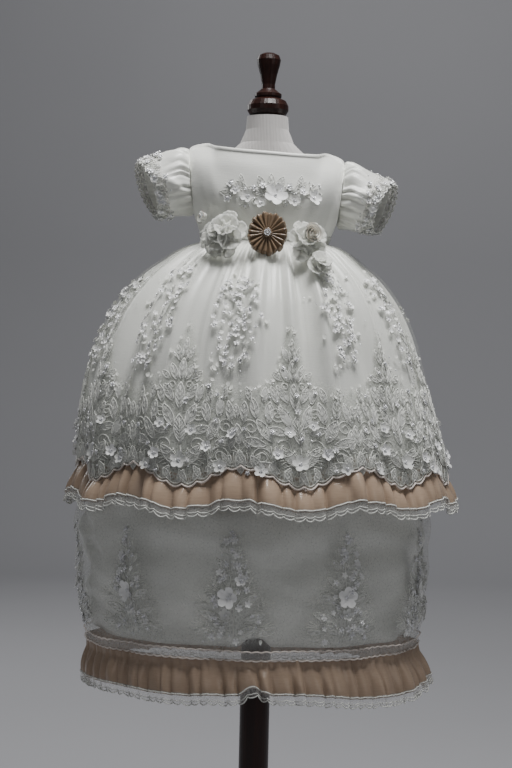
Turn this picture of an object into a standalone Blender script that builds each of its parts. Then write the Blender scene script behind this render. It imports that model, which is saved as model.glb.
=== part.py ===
"""A long christening gown on a child's dress form and turned wooden stand.

Everything is in metres, +Z up, with the origin on the floor under the middle of the stand. The gown
faces -Y. Angles round the body are degrees from the front, growing towards +X.
"""

import math

import bmesh
import bpy

# ---------------------------------------------------------------- driving dimensions

# Cloth
CLOTH = 0.0012  # wall that stands for a layer of cloth with its turnings
SEAM_GAP = 0.0003  # between two pieces that are sewn together
SLOPE = 0.065  # the gown sits a little askew: its shoulders drop this much per metre towards +X

# Heights above the floor
HEM = 0.277  # lower edge of the lower ruffle's satin
TIER_SEAM = 0.324  # where the lower ruffle joins the sheer tier
LINING_EDGE = 0.338
OVERLAY_EDGE = 0.553  # mean height of the lace overlay's scalloped edge
SATIN_EDGE = 0.574  # lower edge of the satin skirt, where the upper ruffle is sewn on
WAIST = 0.856
BELT = 0.010  # height of the belt
BELT_OUT = 0.0019  # how far the belt's outer side stands off the bodice
UNDERARM = 0.888

# The ruffles
FOLDS = 40  # folds round each ruffle
RUFFLE_SWING = 0.006  # the lower ruffle's hem hangs this much further towards +X than its seam
EDGE_LACE = 0.012  # height of the lace along each ruffle
SCALLOPS = 10  # large scallops round the lace overlay
SCALLOP_FIRST = 12.0  # degrees from the front to the tip of one of them
SCALLOP_DEPTH = 0.0125
FLUTES = 12  # soft folds round the skirts

# The stand
POLE_RADIUS = 0.020
BASE_RADIUS = 0.150
BASE_HEIGHT = 0.024
FORM_BOTTOM = 0.680
NECK_TOP = 1.0262

# ---------------------------------------------------------------- tables of sections

# Half width, half depth over half width, middle's shift to +X and depth of the soft folds, by height.
OVERLAY = (
    # height, half_width, depth_share, shift, fold
    (0.535, 0.2455, 0.86, 0.004, 0.0045),
    (0.583, 0.2425, 0.86, 0.000, 0.0050),
    (0.631, 0.2345, 0.86, -0.006, 0.0045),
    (0.686, 0.2200, 0.86, -0.009, 0.0040),
    (0.735, 0.2020, 0.86, -0.008, 0.0035),
    (0.783, 0.1750, 0.86, -0.006, 0.0030),
    (0.825, 0.1360, 0.85, -0.003, 0.0020),
    (0.848, 0.1050, 0.83, -0.001, 0.0010),
    (WAIST - SEAM_GAP, 0.0856, 0.81, 0.000, 0.0),
)
# Heights of the upper skirts' rings above the scalloped edge.
UPPER_RINGS = (0.596, 0.670, 0.740, 0.790, 0.825, 0.845, WAIST - SEAM_GAP)
LAYER_DROP = 0.0018  # each gathered layer starts this much below the one over it
# How far each inner skirt lies within the overlay.
WITHIN = (
    # height, satin_in, lining_in
    (0.535, 0.0062, 0.0125),
    (0.735, 0.0062, 0.0125),
    (0.783, 0.0066, 0.0130),
    (0.825, 0.0075, 0.0145),
    (0.842, 0.0080, 0.0155),
    (WAIST - SEAM_GAP, 0.0062, 0.0120),
)
TIER = (
    # height, half_width, depth_share, shift, fold
    (TIER_SEAM, 0.2210, 0.86, -0.006, 0.0015),
    (0.355, 0.2270, 0.86, -0.006, 0.0025),
    (0.424, 0.2340, 0.86, -0.008, 0.0030),
    (0.493, 0.2350, 0.86, -0.008, 0.0030),
    (0.530, 0.2290, 0.86, -0.003, 0.0020),
    (0.552, 0.2255, 0.86, 0.000, 0.0010),
)
LINING_LOW = (
    # height, half_width, depth_share, shift, fold
    (LINING_EDGE, 0.2110, 0.86, -0.006, 0.0020),
    (0.424, 0.2230, 0.86, -0.008, 0.0020),
    (0.493, 0.2250, 0.86, -0.008, 0.0020),
    (0.552, 0.2215, 0.86, 0.000, 0.0010),
)
# Lines that run up the front of the bodice, from the centre to the side seam. Depths are forward.
BODICE = (
    # waist_angle, then across, depth and height at the chest, above the chest and at the top edge
    (0, 0.0000, 0.0760, 0.905, 0.0000, 0.0710, 0.945, 0.0000, 0.0620, 0.9720),
    (19, 0.0340, 0.0735, 0.905, 0.0340, 0.0680, 0.945, 0.0360, 0.0580, 0.9725),
    (35, 0.0600, 0.0660, 0.907, 0.0620, 0.0590, 0.946, 0.0640, 0.0430, 0.9755),
    (45, 0.0740, 0.0580, 0.912, 0.0790, 0.0470, 0.954, 0.0810, 0.0009, 0.9830),
    (55, 0.0860, 0.0480, 0.912, 0.0950, 0.0390, 0.948, 0.1040, 0.0009, 0.9740),
    (64, 0.0925, 0.0400, 0.900, 0.0985, 0.0380, 0.922, 0.1015, 0.0300, 0.9450),
    (77, 0.0945, 0.0260, 0.885, 0.0960, 0.0300, 0.898, 0.0975, 0.0290, 0.9100),
    (90, 0.0875, 0.0005, 0.867, 0.0915, 0.0005, 0.878, 0.0955, 0.0005, UNDERARM),
)
BODICE_WAIST = (0.0850, 0.0690)  # half width, half depth
BACK_DEPTH = 0.92  # the back is a little flatter than the front
# Rings of a puff sleeve, from just outside the armhole to the end of the satin.
SLEEVE = (
    # out, height, half_height, half_depth, tilt, gathers, forward turn
    (0.1120, 0.9290, 0.0425, 0.0400, 6, 0.0018, 0),
    (0.1250, 0.9255, 0.0415, 0.0450, 10, 0.0022, 4),
    (0.1400, 0.9205, 0.0390, 0.0455, 15, 0.0020, 9),
    (0.1520, 0.9175, 0.0370, 0.0430, 19, 0.0012, 14),
)
CUFF = (
    # the same columns
    (0.1526, 0.9173, 0.0368, 0.0428, 19, 0.0012, 14),
    (0.1620, 0.9155, 0.0345, 0.0405, 22, 0.0016, 17),
)
SLEEVE_GATHERS = 5  # folds round the sleeve
FORM = (
    # height, half_width, half_depth
    (FORM_BOTTOM, 0.0560, 0.0460),
    (0.684, 0.0680, 0.0550),
    (0.700, 0.0780, 0.0630),
    (0.735, 0.0830, 0.0680),
    (0.790, 0.0800, 0.0650),
    (0.856, 0.0770, 0.0600),
    (0.900, 0.0800, 0.0590),
    (0.930, 0.0850, 0.0520),
    (0.952, 0.0800, 0.0400),
    (0.966, 0.0640, 0.0340),
    (0.982, 0.0430, 0.0310),
    (1.000, 0.0310, 0.0290),
    (NECK_TOP, 0.0275, 0.0265),
)
NECK_CAP = (
    # height above the neck, radius
    (SEAM_GAP, 0.0180),
    (0.0030, 0.0245),
    (0.0085, 0.0278),
    (0.0150, 0.0278),
    (0.0215, 0.0245),
    (0.0245, 0.0185),
)
FINIAL = (
    # height above the neck, radius
    (0.0248, 0.0170),
    (0.0275, 0.0182),
    (0.0310, 0.0182),
    (0.0340, 0.0140),
    (0.0380, 0.0092),
    (0.0440, 0.0090),
    (0.0570, 0.0115),
    (0.0700, 0.0150),
    (0.0770, 0.0162),
    (0.0830, 0.0140),
    (0.0860, 0.0080),
)
BASE = (
    # height, radius
    (0.0, BASE_RADIUS - 0.004),
    (0.004, BASE_RADIUS),
    (0.014, BASE_RADIUS),
    (0.019, BASE_RADIUS - 0.006),
    (BASE_HEIGHT, BASE_RADIUS - 0.020),
)

# ---------------------------------------------------------------- materials


def finish(name, colour, roughness, metallic=0.0):
    """A plain Principled material."""
    made = bpy.data.materials.new(name)
    made.use_nodes = True
    shader = made.node_tree.nodes["Principled BSDF"]
    shader.inputs["Base Color"].default_value = (*colour, 1.0)
    shader.inputs["Roughness"].default_value = roughness
    shader.inputs["Metallic"].default_value = metallic
    return made


# ---------------------------------------------------------------- shape helpers


def between(table, at):
    """The columns of a table at a height, on smooth curves through its rows."""
    rows = sorted(table)
    last = len(rows) - 1
    i = max(0, min(last - 1, sum(row[0] <= at for row in rows) - 1))
    low, high = rows[i], rows[i + 1]
    before, after = rows[max(i - 1, 0)], rows[min(i + 2, last)]
    span = high[0] - low[0]
    t = max(0.0, min(1.0, (at - low[0]) / span))
    found = []
    for k in range(1, len(low)):
        slope_low = (high[k] - before[k]) / (high[0] - before[0]) * span
        slope_high = (after[k] - low[k]) / (after[0] - low[0]) * span
        found.append(
            low[k] * (2 * t**3 - 3 * t**2 + 1)
            + slope_low * (t**3 - 2 * t**2 + t)
            + high[k] * (3 * t**2 - 2 * t**3)
            + slope_high * (t**3 - t**2)
        )
    return found


def spread(first, last, steps):
    """Evenly spaced values, ends included."""
    return [first + (last - first) * i / steps for i in range(steps + 1)]


def settle(point):
    """Moves a point of the bodice as the gown sits askew: not at the waist, fully from the chest up."""
    x, y, z = point
    share = max(0.0, min(1.0, (z - WAIST) / (UNDERARM - WAIST)))
    return (x, y, z - SLOPE * x * share)


def add_object(name, bm, material, smooth=True):
    """Makes a named object from a bmesh."""
    bmesh.ops.recalc_face_normals(bm, faces=bm.faces)
    mesh = bpy.data.meshes.new(name)
    bm.to_mesh(mesh)
    bm.free()
    made = bpy.data.objects.new(name, mesh)
    bpy.context.scene.collection.objects.link(made)
    mesh.materials.append(material)
    if smooth:
        mesh.shade_smooth()
        mesh.set_sharp_from_angle(angle=math.radians(40))
    return made


def loft(bm, rings, closed=True):
    """Faces between rings of points, each ring running anticlockwise seen from above."""
    verts = [[bm.verts.new(point) for point in ring] for ring in rings]
    count = len(rings[0])
    for low, high in zip(verts, verts[1:]):
        for i in range(count if closed else count - 1):
            j = (i + 1) % count
            bm.faces.new((low[i], low[j], high[j], high[i]))
    return verts


def cloth(name, rings, material, closed=True):
    """A wall of cloth whose outer side goes through the rings, lowest first."""
    bm = bmesh.new()
    loft(bm, rings, closed)
    made = add_object(name, bm, material)
    wall = made.modifiers.new("wall", "SOLIDIFY")
    wall.thickness = CLOTH
    wall.offset = -1.0


def turned(name, profile, material, lift=0.0, segments=32):
    """A solid of revolution with flat ends, from (height, radius) rows."""
    bm = bmesh.new()
    rings = [
        [
            (radius * math.sin(turn), -radius * math.cos(turn), lift + height)
            for turn in (2 * math.pi * i / segments for i in range(segments))
        ]
        for height, radius in profile
    ]
    verts = loft(bm, rings)
    bm.faces.new(verts[0][::-1])
    bm.faces.new(verts[-1])
    return add_object(name, bm, material)


def angles(count):
    """Directions round the body, in degrees from the front."""
    return [360.0 * i / count for i in range(count)]


def scallop(angle):
    """1 at the tip of a large scallop of the overlay, -1 between two."""
    return math.cos(math.radians(SCALLOPS * (angle - SCALLOP_FIRST)))


def skirt_point(section, angle, height, out=0.0):
    """A point of a skirt at this height, out metres beyond its section."""
    half_width, depth_share, shift, fold = section
    turn = math.radians(angle)
    reach = out + fold * math.cos(math.radians(FLUTES * angle))
    across = (half_width + reach) * math.sin(turn)
    forward = (half_width * depth_share + reach) * math.cos(turn)
    return (shift + across, -forward, height)


# ---------------------------------------------------------------- skirts


def overlay_edge(angle):
    """Height of the overlay's scalloped edge."""
    return OVERLAY_EDGE - SCALLOP_DEPTH * scallop(angle)


def make_overlay(material):
    """The lace overlay: a straight length gathered to the waist, with a scalloped edge."""
    rings = [
        [skirt_point(between(OVERLAY, overlay_edge(a)), a, overlay_edge(a)) for a in angles(60)]
    ]
    for height in UPPER_RINGS:
        rings.append([skirt_point(between(OVERLAY, height), a, height) for a in angles(60)])
    cloth("lace_overlay", rings, material)


def inner_section(height, column):
    """A section of the satin skirt (column 0) or of the lining (column 1) under the overlay."""
    half_width, depth_share, shift, fold = between(OVERLAY, height)
    return (half_width - between(WITHIN, height)[column], depth_share, shift, fold * 0.6)


def make_satin_skirt(material):
    """The satin upper skirt under the overlay."""
    rings = [
        [skirt_point(inner_section(height, 0), angle, height) for angle in angles(36)]
        for height in (SATIN_EDGE, *UPPER_RINGS[1:-1], WAIST - SEAM_GAP - LAYER_DROP)
    ]
    cloth("upper_skirt_satin", rings, material)


def make_lining(material):
    """The satin foundation skirt, from the waist to just above the lower ruffle."""
    low = [
        [skirt_point(between(LINING_LOW, height), angle, height) for angle in angles(36)]
        for height in (LINING_EDGE, 0.430, 0.552)
    ]
    high = [
        [skirt_point(inner_section(height, 1), angle, height) for angle in angles(36)]
        for height in (*UPPER_RINGS[2:-1], WAIST - SEAM_GAP - 2 * LAYER_DROP)
    ]
    cloth("skirt_lining", low + high, material)


def make_tier(material):
    """The sheer lower tier, gathered on to the foundation under the upper skirt."""
    rings = [
        [skirt_point(between(TIER, height), angle, height) for angle in angles(48)]
        for height in (TIER_SEAM, 0.400, 0.500, 0.552)
    ]
    cloth("lower_tier", rings, material)


def make_heading_lace(material):
    """The lace sewn over the join of the lower tier and its ruffle."""
    rings = [
        [
            skirt_point(between(TIER, height), angle, height, out=CLOTH + 0.0006)
            for angle in angles(48)
        ]
        for height in (TIER_SEAM + 0.0005, TIER_SEAM + EDGE_LACE)
    ]
    cloth("heading_lace", rings, material)


def ruffle_ring(section, height_of, out, fold):
    """A ring of a ruffle: out metres beyond a skirt's section, with folds of this depth."""
    ring = []
    for number, angle in enumerate(angles(2 * FOLDS)):
        reach = out + (-fold if number % 2 else fold)
        ring.append(skirt_point(section, angle, height_of(angle), reach))
    return ring


def upper_ruffle_bottom(angle):
    """Height of the satin's lower edge on the upper ruffle."""
    return OVERLAY_EDGE - 0.035 - 0.009 * scallop(angle)


def lower_ruffle_bottom(angle):
    """Height of the satin's lower edge on the lower ruffle, which lifts and dips a little."""
    wave = math.cos(math.radians(3 * angle + 40)) + math.cos(math.radians(5 * angle - 60))
    return HEM + 0.003 * wave


def make_ruffles(satin, lace):
    """Both gathered satin ruffles, each with a lace edge that follows its folds."""
    base = between(OVERLAY, OVERLAY_EDGE)
    join = inner_section(SATIN_EDGE, 0)
    low = between(TIER, TIER_SEAM)
    swung = [low[0], low[1], low[2] + RUFFLE_SWING, low[3]]
    upper = [
        ruffle_ring(base, upper_ruffle_bottom, 0.0105, 0.0045),
        ruffle_ring(base, lambda angle: overlay_edge(angle) - 0.001, -0.0055, 0.0010),
        ruffle_ring(join, lambda angle: SATIN_EDGE - 3 * SEAM_GAP, -0.0010, 0.0003),
    ]
    cloth("upper_ruffle", upper, satin)
    lower = [
        ruffle_ring(swung, lower_ruffle_bottom, 0.0085, 0.0045),
        ruffle_ring(low, lambda angle: TIER_SEAM - SEAM_GAP, -0.0012, 0.0006),
    ]
    cloth("lower_ruffle", lower, satin)
    plan = (
        ("upper_ruffle_lace", base, upper_ruffle_bottom, 0.0105),
        ("lower_ruffle_lace", swung, lower_ruffle_bottom, 0.0085),
    )
    for name, section, bottom, out in plan:
        rings = [
            ruffle_ring(section, lambda angle: bottom(angle) - EDGE_LACE, out + 0.0015, 0.0050),
            ruffle_ring(section, lambda angle: bottom(angle) - 3 * SEAM_GAP, out, 0.0045),
        ]
        cloth(name, rings, lace)


# ---------------------------------------------------------------- bodice and sleeves


def bodice_line(row, mirror, back):
    """The four points of one line of the bodice, from the waist up."""
    side = -1 if mirror else 1
    depth = BACK_DEPTH if back else -1.0
    turn = math.radians(row[0])
    half_width, half_depth = BODICE_WAIST
    forward = max(half_depth * math.cos(turn), 0.0005)
    points = [(side * half_width * math.sin(turn), depth * forward, WAIST)]
    for k in (1, 4, 7):
        away = max(row[k + 1], 0.0009 if k == 7 else 0.0005) if row[0] < 60 else row[k + 1]
        points.append((side * row[k], depth * away, row[k + 2]))
    return points


def smooth_line(points, steps):
    """Points along a smooth curve through these ones, steps to each span."""
    rows = [(float(i), *point) for i, point in enumerate(points)]
    return [tuple(between(rows, i / steps)) for i in range(steps * (len(points) - 1) + 1)]


def make_panel(name, lines, material):
    """A bodice panel through lines that run from the waist up."""
    up = [smooth_line(line, 2) for line in lines]
    rings = [[settle(column[i]) for column in up] for i in range(len(up[0]))]
    return cloth(name, rings, material, closed=False)


def make_bodice(material):
    """The front, and two backs that meet at the centre back."""
    right = [bodice_line(row, False, False) for row in BODICE]
    left = [bodice_line(row, True, False) for row in BODICE[:0:-1]]
    make_panel("bodice_front", left + right, material)
    for name, mirror in (("bodice_back_right", False), ("bodice_back_left", True)):
        lines = [bodice_line(row, mirror, True) for row in BODICE]
        edge = -0.0006 if mirror else 0.0006
        lines[0] = [(edge, y, z) for _, y, z in lines[0]]
        make_panel(name, lines, material)


def armhole(side, columns):
    """The sleeve's first ring: the armhole's edge, moved out by a seam's gap."""
    front = [(row[7], -row[8], row[9]) for row in BODICE[4:]]
    back = [(row[7], row[8] * BACK_DEPTH, row[9]) for row in BODICE[-2:3:-1]]
    loop = front + back  # from the shoulder down the front to the underarm and up the back
    rows = [(float(i), *point) for i, point in enumerate(loop)]
    found = []
    for i in range(columns):
        x, y, z = between(rows, i / columns * (len(loop) - 1))
        found.append((side * (x + 0.0012), y, z))
    return found


def sleeve_ring(row, side, columns):
    """A ring of a sleeve, from its top round the front."""
    out, height, half_height, half_depth, tilt, gathers, ahead = row
    lean, swing = math.radians(tilt), math.sin(math.radians(ahead))
    ring = []
    for i in range(columns):
        turn = 2 * math.pi * i / columns
        reach = gathers * math.cos(SLEEVE_GATHERS * turn)
        up = (half_height + reach) * math.cos(turn)
        forward = (half_depth + reach) * math.sin(turn)
        away = out + up * math.sin(lean) - forward * swing
        ring.append((side * away, -forward, height + up * math.cos(lean)))
    return ring


def make_sleeve(name, side, satin, lace):
    """A puff sleeve and the lace band that ends it."""
    columns = 20
    plan = (
        (f"sleeve_{name}", [armhole(side, columns)], SLEEVE, satin),
        (f"sleeve_lace_{name}", [], CUFF, lace),
    )
    for piece, first, table, material in plan:
        rings = first + [sleeve_ring(row, side, columns) for row in table]
        cloth(piece, [[settle(point) for point in ring] for ring in rings], material)


def make_buttons(material):
    """Four covered buttons down the left back's edge."""
    for number in range(4):
        height = 0.872 + 0.028 * number
        bm = bmesh.new()
        bmesh.ops.create_uvsphere(bm, u_segments=10, v_segments=6, radius=0.004)
        button = add_object(f"back_button_{number + 1}", bm, material)
        button.location = (-0.006, button_depth(height), height)


def button_depth(height):
    """How far back a button's centre lies, just clear of the bodice."""
    rows = [(z, y) for _, y, z in bodice_line(BODICE[0], True, True)]
    return between(rows, height)[0] + 0.0052


def at_height(line, height):
    """The point where a line of the bodice reaches a height."""
    points = smooth_line(line, 2)
    for low, high in zip(points, points[1:]):
        if low[2] <= height <= high[2]:
            share = (height - low[2]) / (high[2] - low[2])
            return [low[k] + (high[k] - low[k]) * share for k in range(3)]
    return list(points[-1])


def make_belt(material):
    """The narrow belt round the waist seam, made from the bodice's points moved out."""
    lines = [bodice_line(row, False, False) for row in BODICE]
    lines += [bodice_line(row, False, True) for row in BODICE[-2::-1]]
    lines += [bodice_line(row, True, True) for row in BODICE[1:-1]]
    lines += [bodice_line(row, True, False) for row in BODICE[:0:-1]]
    rings = []
    for height in (WAIST + 0.0004, WAIST + BELT):
        ring = []
        for line in lines:
            x, y, z = at_height(line, height)
            grow = 1.0 + BELT_OUT / math.hypot(x, y)
            ring.append(settle((x * grow, y * grow, z)))
        rings.append(ring)
    cloth("waist_belt", rings, material)


# ---------------------------------------------------------------- the spray at the waist


def blossom(name, radius, thickness, petals, material):
    """A fabric flower as a lobed button: flat behind, domed in front. It faces -Y."""
    bm = bmesh.new()
    columns = petals * 4
    shares = ((1.0, 0.0), (1.0, 0.35), (0.72, 0.85), (0.30, 1.0))
    rings = []
    for share, forward in shares:
        ring = []
        for i in range(columns):
            turn = 2 * math.pi * i / columns
            reach = radius * share * (0.90 + 0.10 * share * math.cos(petals * turn))
            ring.append((reach * math.cos(turn), -thickness * forward, reach * math.sin(turn)))
        rings.append(ring)
    verts = loft(bm, rings)
    bm.faces.new(verts[0])
    bm.faces.new(verts[-1][::-1])
    return add_object(name, bm, material)


def rosette(name, radius, thickness, pleats, material):
    """A pleated satin rosette: ridges that run from its middle to its edge. It faces -Y."""
    bm = bmesh.new()
    columns = 2 * pleats
    rings = []
    for share, forward, ridge in ((1.0, 0.0, 0.0), (1.0, 0.3, 0.25), (0.24, 0.75, 0.25)):
        ring = []
        for i in range(columns):
            turn = 2 * math.pi * i / columns
            crest = ridge * (1 if i % 2 else -1)
            ring.append(
                (
                    radius * share * math.cos(turn),
                    -thickness * (forward + crest),
                    radius * share * math.sin(turn) * 1.1,
                )
            )
        rings.append(ring)
    verts = loft(bm, rings)
    bm.faces.new(verts[0])
    bm.faces.new(verts[-1][::-1])
    return add_object(name, bm, material, smooth=False)


def place(made, across, depth, height, turn, lean):
    """Sets a flower in place: turned about the body by turn and leaned back by lean, in degrees."""
    made.location = (across, -depth, height)
    made.rotation_euler = (math.radians(lean), 0.0, math.radians(turn))


def make_spray(finishes):
    """The flowers, buds and rosette sewn to the front of the waist."""
    organza = finishes["organza"]
    place(blossom("flower_left", 0.027, 0.014, 5, organza), -0.052, 0.0965, 0.8590, -30, -18)
    place(blossom("flower_right", 0.021, 0.012, 5, organza), 0.050, 0.103, 0.8480, 28, -16)
    place(blossom("flower_low", 0.014, 0.010, 4, organza), 0.066, 0.116, 0.8140, 32, -42)
    place(blossom("bud_left", 0.010, 0.008, 4, organza), -0.081, 0.058, 0.8830, -56, 0)
    place(blossom("rose_right", 0.010, 0.008, 5, organza), 0.0579, 0.1094, 0.8611, 28, -16)
    place(rosette("rosette", 0.026, 0.009, 18, finishes["gold"]), 0.0025, 0.1075, 0.8600, 0, -10)
    gem = blossom("rosette_gem", 0.0055, 0.004, 4, finishes["gem"])
    place(gem, 0.0025, 0.1180, 0.8620, 0, -10)


# ---------------------------------------------------------------- the form and its stand


def make_form(material):
    """The dress form: a smooth torso with a neck and no arms."""
    bm = bmesh.new()
    heights = [FORM[0][0], FORM[1][0]] + spread(FORM[2][0], NECK_TOP, 18)
    rings = []
    for height in heights:
        half_width, half_depth = between(FORM, height)
        ring = []
        for i in range(32):
            turn = 2 * math.pi * i / 32
            ring.append((half_width * math.sin(turn), -half_depth * math.cos(turn), height))
        rings.append(ring)
    verts = loft(bm, rings)
    bm.faces.new(verts[0][::-1])
    bm.faces.new(verts[-1])
    return add_object("dress_form", bm, material)


def make_stand(wood):
    """The round base, the pole and the turned pieces on the neck."""
    turned("stand_base", BASE, wood, segments=48)
    pole = (
        (BASE_HEIGHT + SEAM_GAP, POLE_RADIUS),
        (FORM_BOTTOM - SEAM_GAP, POLE_RADIUS),
    )
    turned("stand_pole", pole, wood)
    turned("neck_cap", NECK_CAP, wood, lift=NECK_TOP)
    turned("finial", FINIAL, wood, lift=NECK_TOP, segments=24)


# ---------------------------------------------------------------- the whole object


def main():
    for old in list(bpy.data.objects):
        bpy.data.objects.remove(old)
    finishes = {
        "satin": finish("ivory_satin", (0.86, 0.86, 0.82), 0.35),
        "organza": finish("ivory_organza", (0.84, 0.85, 0.79), 0.55),
        "lace": finish("ivory_lace", (0.82, 0.82, 0.78), 0.7),
        "champagne": finish("champagne_satin", (0.80, 0.62, 0.48), 0.35),
        "gold": finish("gold_satin", (0.55, 0.42, 0.27), 0.35),
        "gem": finish("crystal", (0.9, 0.9, 0.92), 0.05),
        "wood": finish("dark_wood", (0.055, 0.018, 0.010), 0.3),
        "jersey": finish("form_jersey", (0.62, 0.60, 0.58), 0.9),
    }
    make_stand(finishes["wood"])
    make_form(finishes["jersey"])
    make_overlay(finishes["lace"])
    make_satin_skirt(finishes["satin"])
    make_lining(finishes["satin"])
    make_tier(finishes["organza"])
    make_heading_lace(finishes["lace"])
    make_ruffles(finishes["champagne"], finishes["lace"])
    make_bodice(finishes["satin"])
    make_belt(finishes["satin"])
    make_sleeve("left", -1, finishes["satin"], finishes["lace"])
    make_sleeve("right", 1, finishes["satin"], finishes["lace"])
    make_buttons(finishes["satin"])
    make_spray(finishes)


main()
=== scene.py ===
# %% [markdown]
# # A christening gown on a dress form
# The gown has a satin bodice with puff sleeves, a lace overlay over a satin skirt, a sheer tier
# over its lining, and two gathered champagne ruffles with lace edges. Fabric flowers and a
# pleated rosette are sewn to the waist. It stands on a child's form with a turned wooden pole.
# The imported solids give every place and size; this script makes the cloth and the finishes.

import math

import bmesh
import bpy
import numpy as np
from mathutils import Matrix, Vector
from mathutils.bvhtree import BVHTree


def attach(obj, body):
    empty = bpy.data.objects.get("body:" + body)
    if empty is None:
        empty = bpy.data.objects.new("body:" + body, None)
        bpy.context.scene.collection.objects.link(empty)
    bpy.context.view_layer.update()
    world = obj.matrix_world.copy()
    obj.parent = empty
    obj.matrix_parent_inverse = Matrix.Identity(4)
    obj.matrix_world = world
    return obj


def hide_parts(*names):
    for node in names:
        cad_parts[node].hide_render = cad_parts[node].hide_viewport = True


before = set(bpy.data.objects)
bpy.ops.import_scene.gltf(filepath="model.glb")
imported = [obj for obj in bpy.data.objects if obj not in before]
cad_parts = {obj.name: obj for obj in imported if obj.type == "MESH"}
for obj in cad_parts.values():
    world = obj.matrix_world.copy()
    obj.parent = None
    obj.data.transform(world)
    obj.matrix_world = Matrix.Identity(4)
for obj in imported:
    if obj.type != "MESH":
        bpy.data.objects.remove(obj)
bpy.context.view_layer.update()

# %% [markdown]
# ## Camera
# The view is level with the middle of the gown and leans a little over one degree. A long lens
# from 2.3 m keeps the skirt from swelling towards the viewer.

# %% Camera
lens = bpy.data.cameras.new("camera")
lens.lens = 79.9
camera = bpy.data.objects.new("camera", lens)
bpy.context.scene.collection.objects.link(camera)
camera.location = (-0.0078, -2.3, 0.666)
camera.rotation_euler = (math.radians(90), math.radians(-1.27), 0)
bpy.context.scene.camera = camera

# %% [markdown]
# ## Shader maths
# A pattern in a material is arithmetic on textures. Wrapping a socket in a small class lets the
# arithmetic be written as Python expressions, so a recipe reads like a formula.


# %% Sockets as numbers
class Wire:
    """One socket's output, with Python's operators as Math nodes."""

    def __init__(self, paint, socket):
        self.paint, self.socket = paint, socket

    def maths(self, operation, first, second=0.0):
        return self.paint.node("ShaderNodeMath", {"operation": operation}, {0: first, 1: second})

    def __add__(self, other):
        return self.maths("ADD", self, other)

    def __mul__(self, other):
        return self.maths("MULTIPLY", self, other)

    __radd__, __rmul__ = __add__, __mul__


class Paint:
    """A material: fixed values go on the shader's own sockets, patterns are fed to them."""

    def __init__(self, name, **fixed):
        self.material = bpy.data.materials.new(name)
        self.material.use_nodes = True
        self.tree = self.material.node_tree
        self.shader = self.tree.nodes["Principled BSDF"]
        for key, value in fixed.items():
            self.shader.inputs[key.replace("_", " ")].default_value = value
        self.place = self.node("ShaderNodeTexCoord", output="Object")

    def node(self, kind, settings=None, inputs=None, output=0):
        made = self.tree.nodes.new(kind)
        for key, value in (settings or {}).items():
            if key == "stops":
                ramp = made.color_ramp
                for number, (at, colour) in enumerate(value):
                    stop = ramp.elements[number] if number < 2 else ramp.elements.new(at)
                    stop.position, stop.color = at, (*colour, 1.0)
            else:
                setattr(made, key, value)
        for key, value in (inputs or {}).items():
            if isinstance(value, Wire):
                self.tree.links.new(value.socket, made.inputs[key])
            else:
                made.inputs[key].default_value = value
        return Wire(self, made.outputs[output])

    def noise(self, scale, detail=3.0, stretch=None):
        """Soft cloud noise between 0 and 1. A stretch shrinks or draws it out along each axis."""
        at = self.place
        if stretch:
            at = self.node("ShaderNodeMapping", inputs={"Vector": at, "Scale": stretch})
        return self.node(
            "ShaderNodeTexNoise", inputs={"Vector": at, "Scale": scale, "Detail": detail}
        )

    def ramp(self, value, *stops):
        return self.node("ShaderNodeValToRGB", {"stops": stops}, {"Fac": value})

    def mix(self, share, first, second):
        """first where share is 0 and second where it is 1, as colours."""
        inputs = {0: share}
        for key, value in ((6, first), (7, second)):
            inputs[key] = value if isinstance(value, Wire) else (*value, 1.0)
        return self.node("ShaderNodeMix", {"data_type": "RGBA"}, inputs, output=2)

    def feed(self, **wires):
        for key, wire in wires.items():
            self.tree.links.new(wire.socket, self.shader.inputs[key.replace("_", " ")])
        return self

    def bump(self, height, distance, strength=1.0):
        inputs = {"Height": height, "Distance": distance, "Strength": strength}
        return self.feed(Normal=self.node("ShaderNodeBump", inputs=inputs))


# %% [markdown]
# ## Finishes
# Satin is smooth and glossy with a faint slub. Tulle is a net, so most of it is holes: its figure
# value says where the embroidery fills it. Chiffon lets some light through.

# %% Satin, tulle and chiffon


def satin(name, light, dark, roughness=0.36, sheen=0.2):
    """Glossy woven cloth, uneven in colour and gloss, with a fine slub along its thread."""
    paint = Paint(name, Sheen_Weight=sheen, Sheen_Roughness=0.4, Specular_IOR_Level=0.55)
    cloud = paint.noise(22.0, 4.0)
    slub = paint.noise(90.0, 3.0, stretch=(1.0, 1.0, 9.0))
    thread = paint.noise(900.0, 2.0, stretch=(1.0, 1.0, 3.0))
    paint.feed(Base_Color=paint.mix(cloud * 0.6 + slub * 0.4, light, dark))
    paint.feed(Roughness=cloud * 0.16 + slub * 0.08 + (roughness - 0.12))
    return paint.bump(slub * 0.7 + thread * 0.3, 0.00025).material


def netting(name, colour, least, most, shade=None):
    """Sheer net: as solid as its figure value says, and never quite even."""
    paint = Paint(name, Sheen_Weight=0.3, Sheen_Roughness=0.5, Specular_IOR_Level=0.3)
    figure = paint.node("ShaderNodeAttribute", {"attribute_name": "figure"}, output="Fac")
    fine = paint.noise(420.0, 4.0)
    leafy = paint.node(
        "ShaderNodeTexVoronoi",
        {"feature": "DISTANCE_TO_EDGE"},
        {"Vector": paint.place, "Scale": 210.0},
    )
    holes = paint.ramp(leafy, (0.02, (1, 1, 1)), (0.22, (0, 0, 0)))
    filled = figure * (holes * 0.5 + fine * 0.6)
    solid = paint.node("ShaderNodeClamp", inputs={"Value": filled * (most - least) + least})
    other = shade or tuple(c * 0.86 for c in colour)
    paint.feed(Base_Color=paint.mix(fine, colour, other))
    paint.feed(Roughness=fine * 0.3 + 0.45, Alpha=solid)
    return paint.bump(filled, 0.0004).material


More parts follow.
